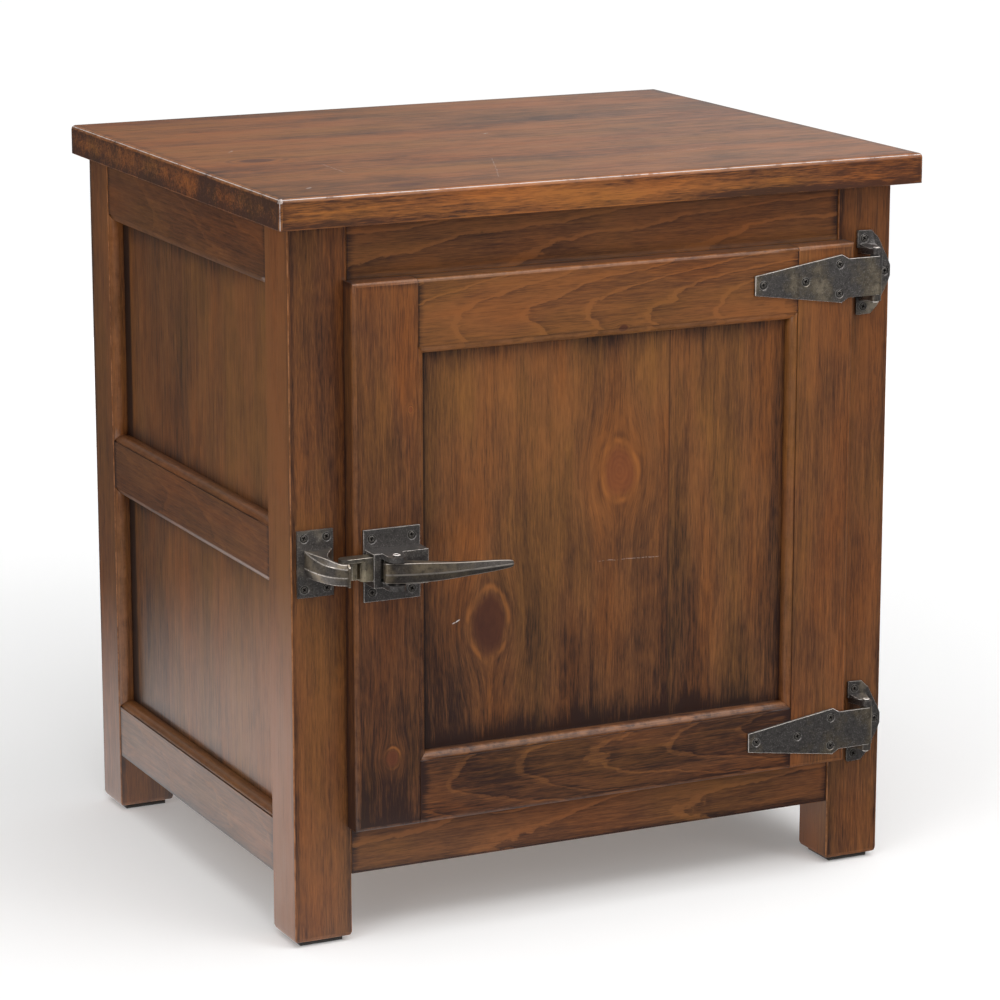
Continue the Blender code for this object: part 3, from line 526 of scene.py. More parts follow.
def bronze(name, seed, patches=0.5):
    return aged_metal(name, (0.142, 0.131, 0.126), (0.31, 0.235, 0.125), (0.92, 0.86, 0.80), seed, patches)


def felt_material():
    material, tree, shader = new_material("felt_pad")
    raw = object_place(tree)
    fuzz = noise_at(tree, raw, (1400.0,) * 3, 3.0, 0.7)
    colour = mix(tree, fuzz, (0.016, 0.014, 0.013), (0.06, 0.053, 0.048))
    fill_in(tree, shader, {"Base Color": colour, "Roughness": 0.95, "Sheen Weight": 0.3})
    bump(tree, shader, fuzz, 0.8, 0.0005)
    return material


# ---------------- mesh helpers

def mark(face, layer, value):
    for loop in face.loops:
        loop[layer] = value


def remove_slivers(bm):
    bmesh.ops.remove_doubles(bm, verts=bm.verts, dist=SLIVER)
    bmesh.ops.dissolve_degenerate(bm, dist=SLIVER, edges=bm.edges)


def cad_copy(node):
    """A welded copy of a node's mesh, with its flat faces made whole again."""
    bm = bmesh.new()
    bm.from_mesh(NODES[node].data)
    bmesh.ops.remove_doubles(bm, verts=bm.verts, dist=0.01 * MM)
    bmesh.ops.dissolve_limit(bm, angle_limit=radians(0.7), verts=bm.verts, edges=bm.edges)
    return bm


def round_arrises(bm, width, least_length, most_length=10.0, least_angle=40, value=WORN_EDGE):
    """Round the sharp outer edges of some lengths; the new faces get a value in the layer "worn"."""
    layer = bm.loops.layers.float.get("worn") or bm.loops.layers.float.new("worn")
    edges = []
    for edge in bm.edges:
        fits = least_length < edge.calc_length() < most_length
        if len(edge.link_faces) == 2 and edge.is_convex and fits:
            if edge.calc_face_angle(0) > radians(least_angle):
                edges.append(edge)
    made = bmesh.ops.bevel(bm, geom=edges, offset=width, offset_type="OFFSET", segments=3,
                           profile=0.5, affect="EDGES", clamp_overlap=True, loop_slide=True)
    for face in made["faces"]:
        mark(face, layer, value)
    return layer


def slice_along(bm, axis, step):
    """Cut the mesh across one axis at every step, so that its edges can be shaped."""
    values = [vert.co[axis] for vert in bm.verts]
    low, high = min(values), max(values)
    normal = Vector([1.0 if i == axis else 0.0 for i in range(3)])
    for i in range(1, max(1, int((high - low) / step))):
        everything = bm.verts[:] + bm.edges[:] + bm.faces[:]
        spot = normal * (low + i * step)
        bmesh.ops.bisect_plane(bm, geom=everything, dist=1e-6, plane_co=spot, plane_no=normal)


WAVE_RATE, NICK_RATE = 45, 140       # unevenness and nicks of a worn edge, in waves a metre
NICK_START = 0.38                    # noise above which a nick begins


def wear_edges(bm, layer, seed, depth):
    """Push the rounded edges in a little, unevenly, with a few deeper nicks."""
    bm.normal_update()
    for vert in bm.verts:
        worn = [loop[layer] for loop in vert.link_loops]
        if not worn or max(worn) < 0.9 * WORN_EDGE:
            continue
        wave = 0.5 + 0.5 * noise.noise(vert.co * WAVE_RATE + Vector((seed * 3.1, seed * 1.7, 0)))
        nick = max(0.0, noise.noise(vert.co * NICK_RATE + Vector((seed, 0, 4))) - NICK_START)
        vert.co -= vert.normal * depth * (wave * 0.7 + nick * 3.0)


def block_object(name, low, high):
    """A plain box between two corners, for a modifier to work on."""
    bm = bmesh.new()
    bmesh.ops.create_cube(bm, size=1.0)
    for vert in bm.verts:
        vert.co = Vector([(low[i] + high[i]) / 2 + vert.co[i] * (high[i] - low[i]) for i in range(3)])
    mesh = bpy.data.meshes.new(name)
    bm.to_mesh(mesh)
    bm.free()
    return new_object(name, mesh)


def cut_away(body, cutter):
    """The mesh of body with the cutter's shape taken out of it; the cutter is removed."""
    boolean = body.modifiers.new("cut", "BOOLEAN")
    boolean.operation = "DIFFERENCE"
    boolean.solver = "EXACT"
    boolean.object = cutter
    evaluated = body.evaluated_get(bpy.context.evaluated_depsgraph_get())
    mesh = bpy.data.meshes.new_from_object(evaluated)
    bpy.data.objects.remove(cutter)
    bm = bmesh.new()
    bm.from_mesh(mesh)
    remove_slivers(bm)
    bm.to_mesh(mesh)
    bm.free()
    return mesh


def add_object(name, bm, material, smooth_angle=35, weighted=True):
    mesh = bpy.data.meshes.new(name)
    bm.normal_update()
    bm.to_mesh(mesh)
    bm.free()
    mesh.shade_smooth()
    mesh.set_sharp_from_angle(angle=radians(smooth_angle))
    mesh.materials.append(material)
    piece = new_object(name, mesh)
    if weighted:
        modifier = piece.modifiers.new("even_normals", "WEIGHTED_NORMAL")
        modifier.keep_sharp = True
    return piece


def register(piece, body, slot, *nodes):
    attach(piece, body)
    if nodes:
        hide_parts(*nodes)
    return piece


def body_of(node):
    return NODES[node]["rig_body"]


# ---------------- wooden pieces

def mark_slanted(bm):
    """Mark rounded edges and mouldings, whose faces lie along no axis, as rubbed, and those that look
    forward and up for a painted highlight as well.
    """
    layer = bm.loops.layers.float.get("worn")
    for face in bm.faces:
        if max(abs(part) for part in face.normal) < 0.985:
            # Faces that look forward and up get a painted highlight.
            lit = face.normal.z > 0.3 and face.normal.y < -0.3
            mark(face, layer, WORN_AND_HIGHLIT_SLANT if lit else SLANT)


def board(node, axes, tone, seed, arris=0.4, rubbed=False, **look):
    """A finely rounded and slightly worn copy of a CAD board, in its own piece of pine.

    arris is how far its sharp edges are rounded, in mm. rubbed says whether they are worn too,
    or only its rounds and mouldings.
    """
    bm = cad_copy(node)
    bm.normal_update()
    bm.loops.layers.float.new("worn")
    mark_slanted(bm)
    layer = round_arrises(bm, arris * MM, 6 * MM, value=WORN_EDGE if rubbed else 0.0)
    slice_along(bm, "XYZ".index(axes[0]), 14 * MM)
    wear_edges(bm, layer, seed, 0.12 * MM)
    material = pine(node + "_pine", node, axes, tone, seed, **look)
    piece = add_object(node + "_board", bm, material)
    register(piece, body_of(node), tone + "_wood", node)


TOP_ROUND = 3.6 * MM
TOP_KNOTS = [(-224, -37, 17, 10, 0.75), (-169, -209, 18, 8, 0.6)]
TOP_SCRATCHES = [((-184, -73), (-186, -129), 0.5, 0.35), ((-43, -100), (-87, -205), 0.5, 0.3),
                 ((-228, 16), (-221, 24), 0.9, 0.9), ((-247, -193), (-241, -190), 1.0, 0.9),
                 ((8, 24), (16, 30), 1.0, 0.9), ((60, -150), (150, -128), 0.5, 0.35)]


def rounded_block(low, high):
    """The top's shape: its upper edge and corners well rounded, its lower edge only eased."""
    block = block_object("tabletop_block", low, high)
    mesh = block.data
    weights = mesh.attributes.new("bevel_weight_edge", "FLOAT", "EDGE")
    for edge in mesh.edges:
        start, end = (mesh.vertices[i].co for i in edge.vertices)
        upright = abs(start.z - end.z) > 1 * MM
        above = start.z > high.z - 1 * MM
        weights.data[edge.index].value = 0.9 if upright else (1.0 if above else 0.3)
    bevel = block.modifiers.new("rounded", "BEVEL")
    bevel.limit_method = "WEIGHT"
    bevel.width = TOP_ROUND
    bevel.segments = 9
    evaluated = block.evaluated_get(bpy.context.evaluated_depsgraph_get())
    bm = bmesh.new()
    bm.from_mesh(evaluated.to_mesh())
    bpy.data.objects.remove(block)
    return bm


def mark_top(bm, layer, tip):
    """Mark the rounds as worn: bare with a painted highlight halfway round, and more worn near the corner
    at tip.
    """
    for face in bm.faces:
        normal = face.normal
        upright = abs(normal.z) < 0.45 and 0.2 < abs(normal.x) < 0.98
        if 0.3 < normal.z < 0.97 or upright:
            # Halfway round, where lamps catch the round, the faces are marked bare for a painted highlight
            # line.
            halfway = 0.66 < normal.z < 0.76 or (upright and 0.66 < abs(normal.x) < 0.76 and normal.y < 0)
            at_tip = (face.calc_center_median() - tip).length < 7 * MM
            mark(face, layer, BARE_EDGE_AND_HIGHLIGHT if halfway else (WORN_CORNER if at_tip else WORN_EDGE))


def add_tabletop():
    """The top, whose rounded edges are all a bit worn and nicked, with a pale line halfway round them that
    is wear and painted highlight.
    """
    low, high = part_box("tabletop")
    bm = rounded_block(low, high)
    layer = bm.loops.layers.float.new("worn")
    mark_top(bm, layer, Vector((low.x, low.y, high.z)))
    slice_along(bm, 0, 12 * MM)
    slice_along(bm, 1, 12 * MM)
    wear_edges(bm, layer, 3.0, 0.22 * MM)
    material = pine("tabletop_pine", "tabletop", "XYZ", "top", 3.4, heart=(30, -75, 0.02), pitch=11.0,
                    margin=12.0, rings=0.35, knots=TOP_KNOTS, scratches=TOP_SCRATCHES,
                    joints=(-105, 70), wear=0.5, pale=0.8, contrast=1.7, rim=0.0,
                    flank=(0.40, 0.06, 0.0), fall=-0.08)
    piece = add_object("tabletop_board", bm, material)
    register(piece, body_of("tabletop"), "top_wood", "tabletop")


def add_carcass_boards():
    for number, (end, side) in enumerate((e, s) for e in ("front", "back") for s in ("left", "right")):
        knots = [(-95, 4, 16, 7, 0.6)] if (end, side) == ("back", "right") else []
        # The front legs' side faces are made lighter through flank: painted light, as if the lamp at the
        # left grazed them.
        board(f"leg_{end}_{side}", "ZXY", "frame", 11.3 + 2.9 * number, arris=0.5,
              heart=(34, 40, 0.02), pitch=4.2, margin=7.0, rings=0.35, knots=knots, wear=0.8, rubbed=True,
              flank=(0, -0.38 if end == "front" else 0.0, 0.05), contrast=1.0, rim=0.0)
    for number, side in enumerate(("left", "right")):
        for level_number, level in enumerate(("bottom", "middle", "top")):
            board(f"side_rail_{level}_{side}", "YZX", "frame",
                  23.7 + 5 * number + 1.7 * level_number, heart=(-12, 70, 0.05), pitch=6.0,
                  margin=9.0, rings=0.5, contrast=0.8, shift=0.14 if level == "middle" else 0.04)
        for level_number, level in enumerate(("lower", "upper")):
            board(f"side_panel_{level}_{side}", "ZYX", "panel",
                  37.1 + 4 * number + 1.9 * level_number, heart=(15, 90, 0.04), pitch=9.0,
                  margin=24.0, rings=0.35, lean=0.24, crevices=((164.0, 8.0, 0.9), (-169.5, 2.0, 0.5)))
    for number, level in enumerate(("bottom", "top")):
        board(f"front_rail_{level}", "XZY", "frame", 51.9 + 3.3 * number,
              heart=(-16, 30, 0.055), pitch=9.0, margin=8.0, rings=1.4, shift=0.06)
        board(f"back_rail_{level}", "XZY", "frame", 57.9 + 3.3 * number, arris=0.5,
              heart=(4, -50, 0.05), pitch=6.5, margin=10.0, rings=0.9)
    board("back_panel", "ZXY", "inner", 61.3, arris=0.7, heart=(20, -120, 0.03), pitch=9.0, margin=18.0,
          rings=0.8, joints=(-90, 60), knots=[(60, -40, 12, 7, 0.5), (-120, 120, 10, 6, 0.6)])
    board("cabinet_floor", "XYZ", "inner", 67.7, arris=0.7, heart=(20, -90, 0.02), pitch=8.0,
          margin=16.0, rings=0.8, knots=[(80, -60, 13, 7, 0.4)])
    for number, side in enumerate(("left", "right")):
        board(f"floor_cleat_{side}", "YZX", "inner", 71.3 + number, arris=0.6, margin=5.0)


def add_door_boards():
    board("door_stile_left", "ZXY", "frame", 81.1, heart=(-70, 25, 0.02),
          pitch=4.0, margin=8.0, rings=0.3, shift=0.30, fall=0.26,
          knots=[(-164, 0, 8, 6, 0.5), (119, 18, 2.5, 1.8, 0.2)])
    board("door_stile_right", "ZXY", "frame", 83.9, heart=(-60, 30, 0.02),
          pitch=4.4, margin=8.0, rings=0.3, fall=0.06)
    board("door_rail_bottom", "XZY", "frame", 87.3, heart=(6, 34, 0.11), pitch=7.5,
          margin=9.0, rings=0.9, shift=0.32)
    board("door_rail_top", "XZY", "frame", 89.9, heart=(-12, 30, 0.12), pitch=7.0,
          margin=7.0, rings=1.2, wear=0.7, shift=-0.05, knots=[(10, -24, 4, 3, 0.9)])
    board("door_panel", "ZXY", "panel", 93.1, heart=(-10, 160, 0.04), pitch=9.0,
          margin=30.0, rings=0.3, joints=(58,), fall=0.24, shift=0.14, crevices=((-163.5, 2.5, 0.7),),
          scratches=[((-24, -8), (-26, 52), 0.35, 0.24), ((-62, -138), (-58, -130), 0.6, 0.7)],
          knots=[(49.5, 12.5, 21, 14.5, 0.1), (-65, -105.5, 25, 15, 0.95)])


def add_foot_pads():
    felt = felt_material()
    for node in sorted(n for n in NODES if n.startswith("foot_pad")):
        bm = cad_copy(node)
        layer = round_arrises(bm, 0.5 * MM, 2 * MM)
        slice_along(bm, 0, 3 * MM)
        slice_along(bm, 1, 3 * MM)
        wear_edges(bm, layer, 5.0, 0.25 * MM)
        register(add_object(node + "_felt", bm, felt), body_of(node), "felt", node)


# ---------------- rings and lofts

def rounded_outline(points, radius, steps=3):
    """A closed outline with each corner replaced by an arc; also says which points are on arcs."""
    outline, marks = [], []
    count = len(points)
    for i, corner in enumerate(points):
        before, after = points[i - 1], points[(i + 1) % count]
        towards_before, towards_after = before - corner, after - corner
        reach = min(radius, 0.42 * towards_before.length, 0.42 * towards_after.length)
        start = corner + towards_before.normalized() * reach
        end = corner + towards_after.normalized() * reach
        for step in range(steps + 1):
            t = step / steps
            outline.append(start * (1 - t) ** 2 + corner * 2 * t * (1 - t) + end * t ** 2)
            marks.append(step < steps)
    return outline, marks


def smooth_value(rows, position):
    """Catmull-Rom value between rows of numbers at a fractional row position."""
    last = len(rows) - 1
    i = min(int(position), last - 1)
    t = position - i
    p0, p1, p2, p3 = (rows[max(0, min(last, i + k))] for k in (-1, 0, 1, 2))
    result = []
    for a, b, c, d in zip(p0, p1, p2, p3):
        result.append(0.5 * (2 * b + (c - a) * t + (2 * a - 5 * b + 4 * c - d) * t ** 2
                             + (3 * b - a - 3 * c + d) * t ** 3))
    return result


def loft(rings, marks):
    """A closed skin over rings; faces whose mark is set are the worn ones, painted bright as highlights."""
    bm = bmesh.new()
    layer = bm.loops.layers.float.new("worn")
    rows = [[bm.verts.new(point) for point in ring] for ring in rings]
    count = len(rows[0])
    for near, far in zip(rows, rows[1:]):
        for i in range(count):
            j = (i + 1) % count
            face = bm.faces.new((near[i], near[j], far[j], far[i]))
            if marks[i]:
                mark(face, layer, BARE_EDGE_AND_HIGHLIGHT)
    bm.faces.new(rows[0])
    bm.faces.new(list(reversed(rows[-1])))
    bmesh.ops.recalc_face_normals(bm, faces=bm.faces)
    return bm


def turned(profile, centre, axis, worn_rows, sides=40):
    """Turn (radius, height) points round an axis through centre; both ends have radius 0.

    worn_rows are the rows of faces that are worn and painted bright as highlights; row 0 lies between the
    second and third points.
    """
    bm = bmesh.new()
    layer = bm.loops.layers.float.new("worn")
    other = [i for i in range(3) if i != axis]

    def point(radius, height, angle):
        result = list(centre)
        result[axis] += height
        result[other[0]] += radius * cos(angle)
        result[other[1]] += radius * sin(angle)
        return result
    tips = [bm.verts.new(point(0, profile[end][1], 0)) for end in (0, -1)]
    angles = [2 * pi * i / sides for i in range(sides)]
    rows = [[bm.verts.new(point(r, h, a)) for a in angles] for r, h in profile[1:-1]]
    for i in range(sides):
        j = (i + 1) % sides
        bm.faces.new((tips[0], rows[0][i], rows[0][j]))
        bm.faces.new((tips[1], rows[-1][j], rows[-1][i]))
        for number, (near, far) in enumerate(zip(rows, rows[1:])):
            face = bm.faces.new((near[i], far[i], far[j], near[j]))
            if number in worn_rows:
                mark(face, layer, BARE_EDGE_AND_HIGHLIGHT)
    bmesh.ops.recalc_face_normals(bm, faces=bm.faces)
    return bm


# ---------------- hinges and latch

def round_metal(bm, arris):
    """Round the long edges by arris mm, and then the short ones round holes and lugs by less."""
    round_arrises(bm, arris * MM, 3.0 * MM, least_angle=32)
    round_arrises(bm, 0.3 * MM, 0.35 * MM, least_angle=40, most_length=1.6 * MM)
    remove_slivers(bm)


def metal_copy(node, material, slot="bronze", arris=0.8):
    """A CAD fitting with its sharp edges rounded off, rubbed, and painted bright as highlights."""
    bm = cad_copy(node)
    bmesh.ops.dissolve_degenerate(bm, dist=0.05 * MM, edges=bm.edges)
    round_metal(bm, arris)
    piece = add_object(node + "_cast", bm, material, smooth_angle=32)
    return register(piece, body_of(node), slot, node)


# Radius and drop from the end, in mm, of a hinge pin's head and of the pivot pin's hollow head
PIN_HEAD = ((3.0, 1.2), (3.0, 0.7), (2.7, 0.25), (2.0, 0.05), (1.2, 0))
PIVOT_HEAD = ((1.9, 1.2), (3.2, 1.2), (3.2, 0.6), (2.9, 0.2), (2.3, 0.02), (2.0, 0.35), (1.6, 0.35),
              (1.2, 0.05), (0, 0))


def add_pins():
    for level in ("lower", "upper"):
        node = f"hinge_pin_{level}"
        low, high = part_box(node)
        centre = (low + high) / 2
        half = (high.z - low.z) / 2
        shank = 2.1 * MM
        head = [(radius * MM, half - drop * MM) for radius, drop in PIN_HEAD]
        profile = [(0, -half)] + [(r, -h) for r, h in reversed(head)] + [(shank, -half + 1.2 * MM)]
        profile += [(shank, half - 1.2 * MM)] + head + [(0, half)]
        bm = turned(profile, centre, 2, {2, 3, 4, 8, 9, 10})
        piece = add_object(node + "_turned", bm, bronze(node + "_bronze", 41.0 + half), smooth_angle=40)
        register(piece, body_of(node), "bronze", node)
    node = "latch_pivot_pin"
    low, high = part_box(node)
    centre = Vector(((low.x + high.x) / 2, (low.y + high.y) / 2, 0))
    profile = [(radius * MM, low.z + rise * MM) for radius, rise in ((0, 0), (1.7, 0.1), (1.9, 0.5))]
    profile += [(radius * MM, high.z - drop * MM) for radius, drop in PIVOT_HEAD]
    bm = turned(profile, centre, 2, {4, 5, 6, 9})
    piece = add_object(node + "_turned", bm, bronze(node + "_bronze", 47.0), smooth_angle=40)
    register(piece, body_of(node), "bronze", node)


# Along the lever from its pivot, in mm: front ridge, back face, half height
LEVER_SECTIONS = [
    (-9.0, 1.4, 4.5, 7.6), (-8.7, 0.0, 5.9, 7.9), (-7.6, -1.0, 7.1, 8.1), (-4.2, -2.8, 8.6, 8.2),
    (2.7, -5.4, 9.6, 8.2), (10.2, -7.6, 8.5, 8.1), (18.7, -9.8, 3.8, 7.9), (31.7, -12.5, -2.6, 7.3),
    (44.7, -13.8, -6.2, 6.5), (59.7, -14.1, -8.1, 5.6), (74.7, -14.0, -9.0, 4.8), (85.7, -13.6, -9.5, 4.0),
    (93.0, -13.1, -10.0, 3.2), (95.4, -12.7, -10.5, 2.5), (96.2, -12.2, -11.0, 1.6)]


def add_lever():
    """The pull: a ridge runs along its front, and its edges are rubbed and painted bright as highlights."""
    pivot = Vector(JOINTS["lever_pivot"]["pos_m"])
    rings = []
    marks = None
    steps = 6
    for number in range((len(LEVER_SECTIONS) - 1) * steps + 1):
        x, front, back, half = smooth_value(LEVER_SECTIONS, number / steps)
        fall = min(1.5, (back - front) / 3)
        ridge = -0.10 * half
        corners = [Vector((front, ridge)), Vector((front + fall, half)), Vector((back, half - 0.4)),
                   Vector((back, 0.4 - half)), Vector((front + fall, -half))]
        outline, marks = rounded_outline(corners, 0.7, 4)
        rings.append([pivot + Vector((x, y, z)) * MM for y, z in outline])
    bm = loft(rings, marks)
    material = aged_metal("lever_bronze", (0.095, 0.083, 0.075), (0.215, 0.160, 0.088), (0.36, 0.32, 0.28),
                          5.3, 0.70, 0.42, 0.1)
    piece = add_object("latch_lever_pull", bm, material, smooth_angle=50)
    register(piece, "latch_lever", "bronze", "latch_lever")


STRIKE_THICKNESS = 2.7 * MM
# Along the strike's arm, in mm from its plate's left, front and lower faces: outer x, y;
# inner x, y; heights of the underside, the middle ridge, the upper ridge and the top
ARM_SECTIONS = [
    (5.8, 0.6, 30.3, 0.6, 16.4, 24.2, 37.7, 38.1), (6.4, -5.2, 26.0, -5.2, 16.4, 24.0, 36.5, 37.9),
    (7.9, -13.2, 21.1, -12.2, 16.2, 23.6, 34.5, 37.5), (10.7, -21.7, 18.1, -19.2, 16.0, 23.2, 32.3, 36.7),
    (14.0, -27.7, 18.5, -24.2, 15.8, 22.9, 31.1, 35.7), (18.5, -32.4, 21.1, -28.5, 15.5, 22.5, 30.1, 34.1),
    (23.5, -35.0, 24.8, -30.8, 15.3, 22.1, 29.1, 32.7), (29.5, -36.4, 29.5, -32.0, 15.0, 21.7, 28.1, 32.5)]


COLLAR_RUNS = (1.7, 1.4, 0.3, 0.0)   # its rings, in mm back from the end of the arm


def add_strike():
    """The CAD plate with a finer hooked arm, whose ridges are rubbed and painted bright as highlights."""
    low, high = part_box("strike")
    face = high.y - STRIKE_THICKNESS
    bm = cad_copy("strike")
    geometry = bm.verts[:] + bm.edges[:] + bm.faces[:]
    bmesh.ops.bisect_plane(bm, geom=geometry, dist=1e-7, plane_co=(0, face - 0.03 * MM, 0),
                           plane_no=(0, -1, 0), clear_outer=True)
    bmesh.ops.holes_fill(bm, edges=[edge for edge in bm.edges if edge.is_boundary], sides=0)
    bmesh.ops.dissolve_limit(bm, angle_limit=radians(0.7), verts=bm.verts, edges=bm.edges)
    round_metal(bm, 0.8)
    plate = add_object("strike_plate", bm, bronze("strike_bronze", 17.9, 0.35), smooth_angle=32)
    register(plate, "carcass", "bronze", "strike")
    origin = Vector((low.x, face, low.z))
    rings = []
    steps = 6
    for number in range((len(ARM_SECTIONS) - 1) * steps + 1):
        ox, oy, ix, iy, under, middle, upper, top = smooth_value(ARM_SECTIONS, number / steps)
        outer = Vector((ox, oy, 0))
        across = Vector((ix, iy, 0)) - outer
        width = across.length
        across.normalize()
        inset = min(2.4, width * 0.45)
        rise = inset * min(1, (top - upper) / 4.4)
        corners = [Vector(pair) for pair in ((inset, under), (0, middle), (0.1, upper), (rise, top),
                                             (width, top), (width, under))]
        outline, marks = rounded_outline(corners, 0.55, 3)
        rings.append([origin + (outer + across * run + Vector((0, 0, z))) * MM for run, z in outline])
    bm = loft(rings, marks)
    brass = aged_metal("strike_arm_bronze", (0.150, 0.133, 0.122), (0.30, 0.225, 0.125), (0.60, 0.54, 0.48),
                       27.3, 0.6, bare=0.2)
    register(add_object("strike_arm", bm, brass, smooth_angle=60), "carcass", "bronze")
    x, front, _, back, under, _, _, top = ARM_SECTIONS[-1]
    corners = [(front - 0.8, under - 0.7), (front - 0.8, top - 2.2), (front + 1.6, top + 0.1),
               (back, top + 0.1), (back, under - 0.7)]
    outline, marks = rounded_outline([Vector(corner) for corner in corners], 0.5, 3)
    rings = [[origin + Vector((x - run, y, z)) * MM for y, z in outline] for run in COLLAR_RUNS]
    collar = add_object("strike_collar", loft(rings, marks), brass, smooth_angle=50)
    register(collar, "carcass", "bronze")


# Radius and depth of a screw, in mm: its shank, its head's rim, a groove round the crown, and the crown
SCREW_PROFILE = [(0, 9), (1.2, 9), (1.6, 8), (1.6, 2.2), (3.7, 0.25), (3.7, 0.05), (3.5, 0.0), (3.3, 0.9),
                 (2.7, 0.9), (2.65, 0.05), (2.45, -0.06), (1.8, -0.13), (0.9, -0.17), (0, -0.18)]
SCREW_RIM_ROW = 4
GROOVE_DEPTHS = (0.2, 1.0)
GROOVE_REACH = 3.4
CROSS_RINGS = ((-1.0, 2.0, 0.5), (1.5, 1.2, 0.4))   # depth, half length and half width of its arms, in mm
# Plates whose screws are not in the frame: places across and up, and the plate's thickness, in mm
PLATE_SCREWS = {"latch_case": ((7.0, 41.5), (7.45, 51.05), 2.4), "strike": ((5.8, 25.1), (6.5, 48.1), 2.7)}
SCREW_PROUD = 0.25


def cross_cutter(material):
    """A tapered cross whose faces carry painted shade."""
    rings = []
    for depth, length, width in CROSS_RINGS:
        quarter = [(length, -width), (length, width), (width, width)]
        quarter_turns = [Matrix.Rotation(turn * pi / 2, 2) for turn in range(4)]
        flat = [turn @ Vector(corner) for turn in quarter_turns for corner in quarter]
        rings.append([Vector((spot.x, depth, spot.y)) * MM for spot in flat])
    bm = loft(rings, [False] * len(rings[0]))
    layer = bm.loops.layers.float["worn"]
    for face in bm.faces:
        mark(face, layer, SHADED_HOLLOW)
    return add_object("screw_cross", bm, material, weighted=False)


def screw_mesh():
    """A countersunk screw with a cross recess, whose head lies at the origin and looks along -y."""
    bm = turned([(radius * MM, depth * MM) for radius, depth in SCREW_PROFILE], (0, 0, 0), 1,
                {SCREW_RIM_ROW}, sides=36)
    layer = bm.loops.layers.float["worn"]
    shallow, deep = (depth * MM for depth in GROOVE_DEPTHS)
    # The groove round the crown carries painted shade.
    for face in bm.faces:
        centre = face.calc_center_median()
        if shallow < centre.y < deep and Vector((centre.x, centre.z)).length < GROOVE_REACH * MM:
            mark(face, layer, SHADED_HOLLOW)
    steel = aged_metal("screw_steel", (0.150, 0.140, 0.133), (0.20, 0.17, 0.13), (0.48, 0.45, 0.42), 7.7,
                       0.4, 0.38)
    body = add_object("screw_blank", bm, steel, smooth_angle=35, weighted=False)
    mesh = cut_away(body, cross_cutter(steel))
    bpy.data.objects.remove(body)
    return mesh


def add_screws():
    """The frame's screws, and the eight that it leaves out, each a bit askew."""
    rnd = random.Random(19)
    mesh = screw_mesh()

    def place(name, spot, body_name, nodes=()):
        piece = new_object(name, mesh)
        piece.location = spot
        piece.rotation_euler = (rnd.uniform(-0.03, 0.03), rnd.uniform(0, pi / 2), rnd.uniform(-0.03, 0.03))
        register(piece, body_name, "screw_steel", *nodes)

    for node in sorted(n for n in NODES if "_screw_" in n):
        low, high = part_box(node)
        spot = Vector(((low.x + high.x) / 2, low.y + 0.12 * MM, (low.z + high.z) / 2))
        place(node + "_cross", spot, body_of(node), (node,))
    for node, (xs, zs, thickness) in PLATE_SCREWS.items():
        low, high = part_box(node)
        for number, (x, z) in enumerate((x, z) for x in xs for z in zs):
            spot = Vector((low.x + x * MM, high.y - (thickness - SCREW_PROUD) * MM, low.z + z * MM))
            place(f"{node}_screw_{number + 1}", spot, body_of(node))


# The slot's corners from the bolt's left, front and lower faces, in mm
SLOT_LOW = Vector((14.4, -4.0, 2.0))
SLOT_HIGH = Vector((17.0, 8.6, 14.8))


def cut_slot(bolt):
    """A deep upright slot between the bolt's nose and its body."""
    low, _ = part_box("latch_bolt")
    bolt.data = cut_away(bolt, block_object("slot_block", low + SLOT_LOW * MM, low + SLOT_HIGH * MM))
    bolt.modifiers.clear()


def add_fittings():
    for number, level in enumerate(("lower", "upper")):
        metal_copy(f"hinge_strap_{level}", bronze(f"strap_{level}_bronze", 2.9 + 3.1 * number, 0.8))
        leaf = bronze(f"leaf_{level}_bronze", 9.7 + 2.3 * number, 0.55)
        metal_copy(f"hinge_leaf_{level}", leaf, arris=0.3)
    metal_copy("latch_case", bronze("case_bronze", 15.1, 0.25))
    add_strike()
    brass = aged_metal("bolt_brass", (0.20, 0.178, 0.150), (0.36, 0.29, 0.17), (0.80, 0.72, 0.60), 21.7,
                       0.8, 0.34)
    cut_slot(metal_copy("latch_bolt", brass, "worn_brass"))
    spring = aged_metal("spring_steel", (0.2, 0.19, 0.18), (0.25, 0.23, 0.2), (0.5, 0.5, 0.48), 3.0,
                        0.4, 0.3)
    NODES["latch_spring"].data.materials.clear()
    NODES["latch_spring"].data.materials.append(spring)


# ---------------- stage

def add_camera():
    yaw, pitch = radians(CAMERA_YAW), radians(CAMERA_PITCH)
    forward = Vector((sin(yaw) * cos(pitch), cos(yaw) * cos(pitch), -sin(pitch)))
    data = bpy.data.cameras.new("camera")
    camera = new_object("camera", data)
    camera.location = CAMERA_PLACE
    camera.rotation_euler = forward.to_track_quat("-Z", "Y").to_euler()
    data.sensor_width = 36
    data.lens = CAMERA_LENS
    data.clip_start, data.clip_end = 0.05, 60
    bpy.context.scene.camera = camera


def area_light(name, place, target, size, power):
    data = bpy.data.lights.new(name, "AREA")
    data.shape = "RECTANGLE"
    data.size, data.size_y = size
    data.energy = power
    light = new_object(name, data)
    light.location = place
    light.rotation_euler = (Vector(target) - Vector(place)).to_track_quat("-Z", "Y").to_euler()


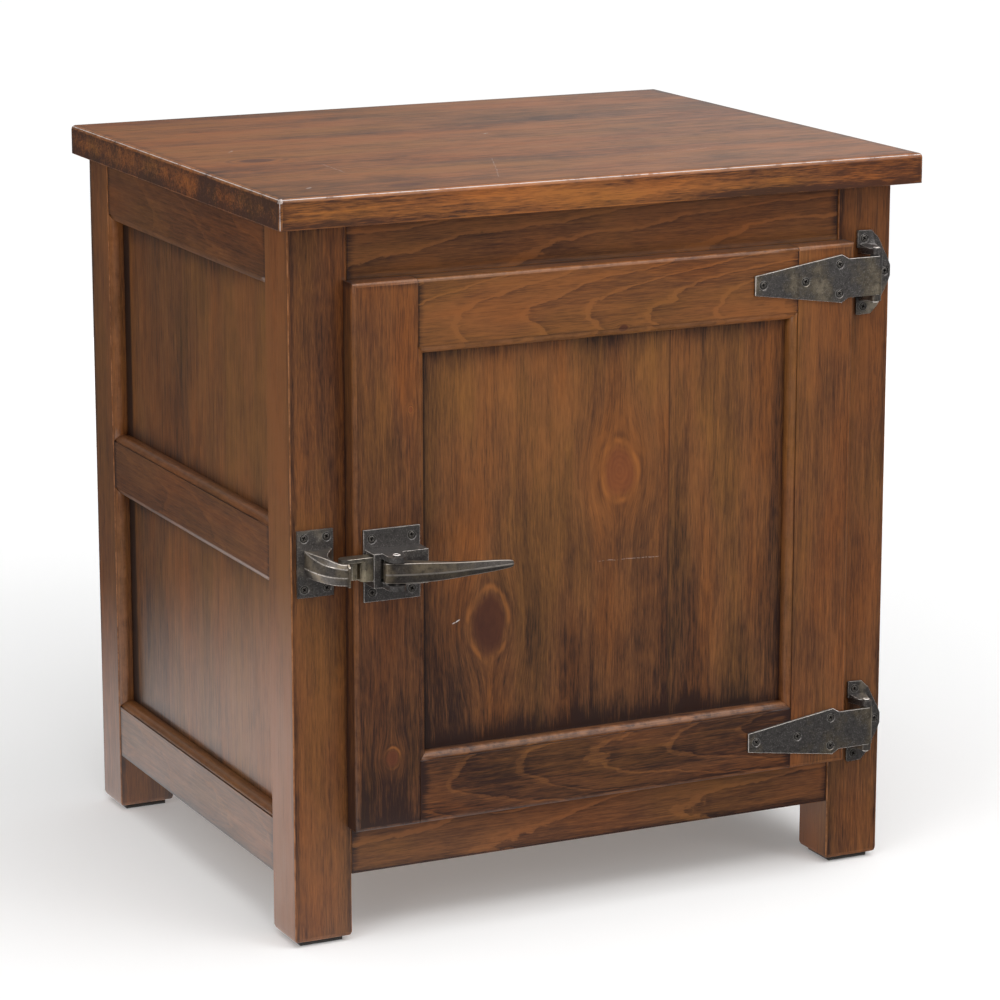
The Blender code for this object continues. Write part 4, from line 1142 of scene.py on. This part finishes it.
def flat_disc(name, radius, height, brightness, inner_glow, outer_glow):
    """A round floor whose glow changes smoothly from near its middle to its edge."""
    mesh = bpy.data.meshes.new(name)
    angles = [2 * pi * i / 96 for i in range(96)]
    mesh.from_pydata([(radius * cos(a), radius * sin(a), height) for a in angles], [], [range(96)])
    material, tree, shader = new_material(name)
    place = object_place(tree)
    grit = noise_at(tree, place, (30.0,) * 3, 3.0)
    low = brightness * 0.985
    colour = mix(tree, grit, (low,) * 3, (brightness,) * 3)
    away = add(tree, "ShaderNodeVectorMath", {0: place}, operation="LENGTH").outputs["Value"]
    glow = fade(tree, away, radius / 5, radius, inner_glow, outer_glow)
    fill_in(tree, shader, {"Base Color": colour, "Roughness": 0.9, "Specular IOR Level": 0.1,
                           "Emission Color": (1, 1, 1, 1), "Emission Strength": glow})
    mesh.materials.append(material)
    disc = new_object(name, mesh)
    return disc


def add_world():
    """White where the camera sees it, and dimmer towards the ground for light and reflections."""
    world = bpy.data.worlds.new("studio")
    bpy.context.scene.world = world
    world.use_nodes = True
    tree = world.node_tree
    background = tree.nodes["Background"]
    direction = add(tree, "ShaderNodeTexCoord").outputs["Generated"]
    aside, back, up = split(tree, direction)
    shade = fade(tree, up, 0.08, 0.85, 0.08, 0.65)
    behind = fade(tree, back, 0.3, 0.6)
    sheen = times(tree, fade(tree, aside, 0.30, 0.56), fade(tree, up, 0.20, 0.10))
    shade = times_plus(tree, times(tree, sheen, behind), 0.7, shade)
    seen = add(tree, "ShaderNodeLightPath").outputs["Is Camera Ray"]
    tree.links.new(mix(tree, seen, shade, (1.02, 1.02, 1.02)), background.inputs["Color"])


def add_stage():
    """A pale floor, a soft white patch of it that only the polish mirrors, and studio lights."""
    floor = flat_disc("floor", 2.4, -0.0006, 0.9, 0.16, 0.64)
    floor.visible_glossy = False
    near = flat_disc("floor_sheen", 0.92, -0.0003, 0.0, 1.15, 0.0)
    near.location = (-0.42, 0.16, 0)
    near.visible_camera = False
    near.visible_diffuse = False
    near.visible_shadow = False
    add_world()
    area_light("overhead", (0.3, -1.0, 2.4), (0.1, -0.1, 0.4), (3.0, 2.2), 42)
    area_light("left_front", (-2.6, -1.6, 1.5), (0, 0, 0.35), (1.4, 1.8), 20)
    area_light("right_front", (1.6, -2.9, 1.5), (0, 0, 0.35), (1.2, 1.6), 14)
    bpy.context.scene.view_settings.view_transform = "Standard"


# ---------------- assembly

add_camera()
add_stage()
add_tabletop()
add_carcass_boards()
add_door_boards()
add_foot_pads()
add_fittings()
add_pins()
add_lever()
add_screws()
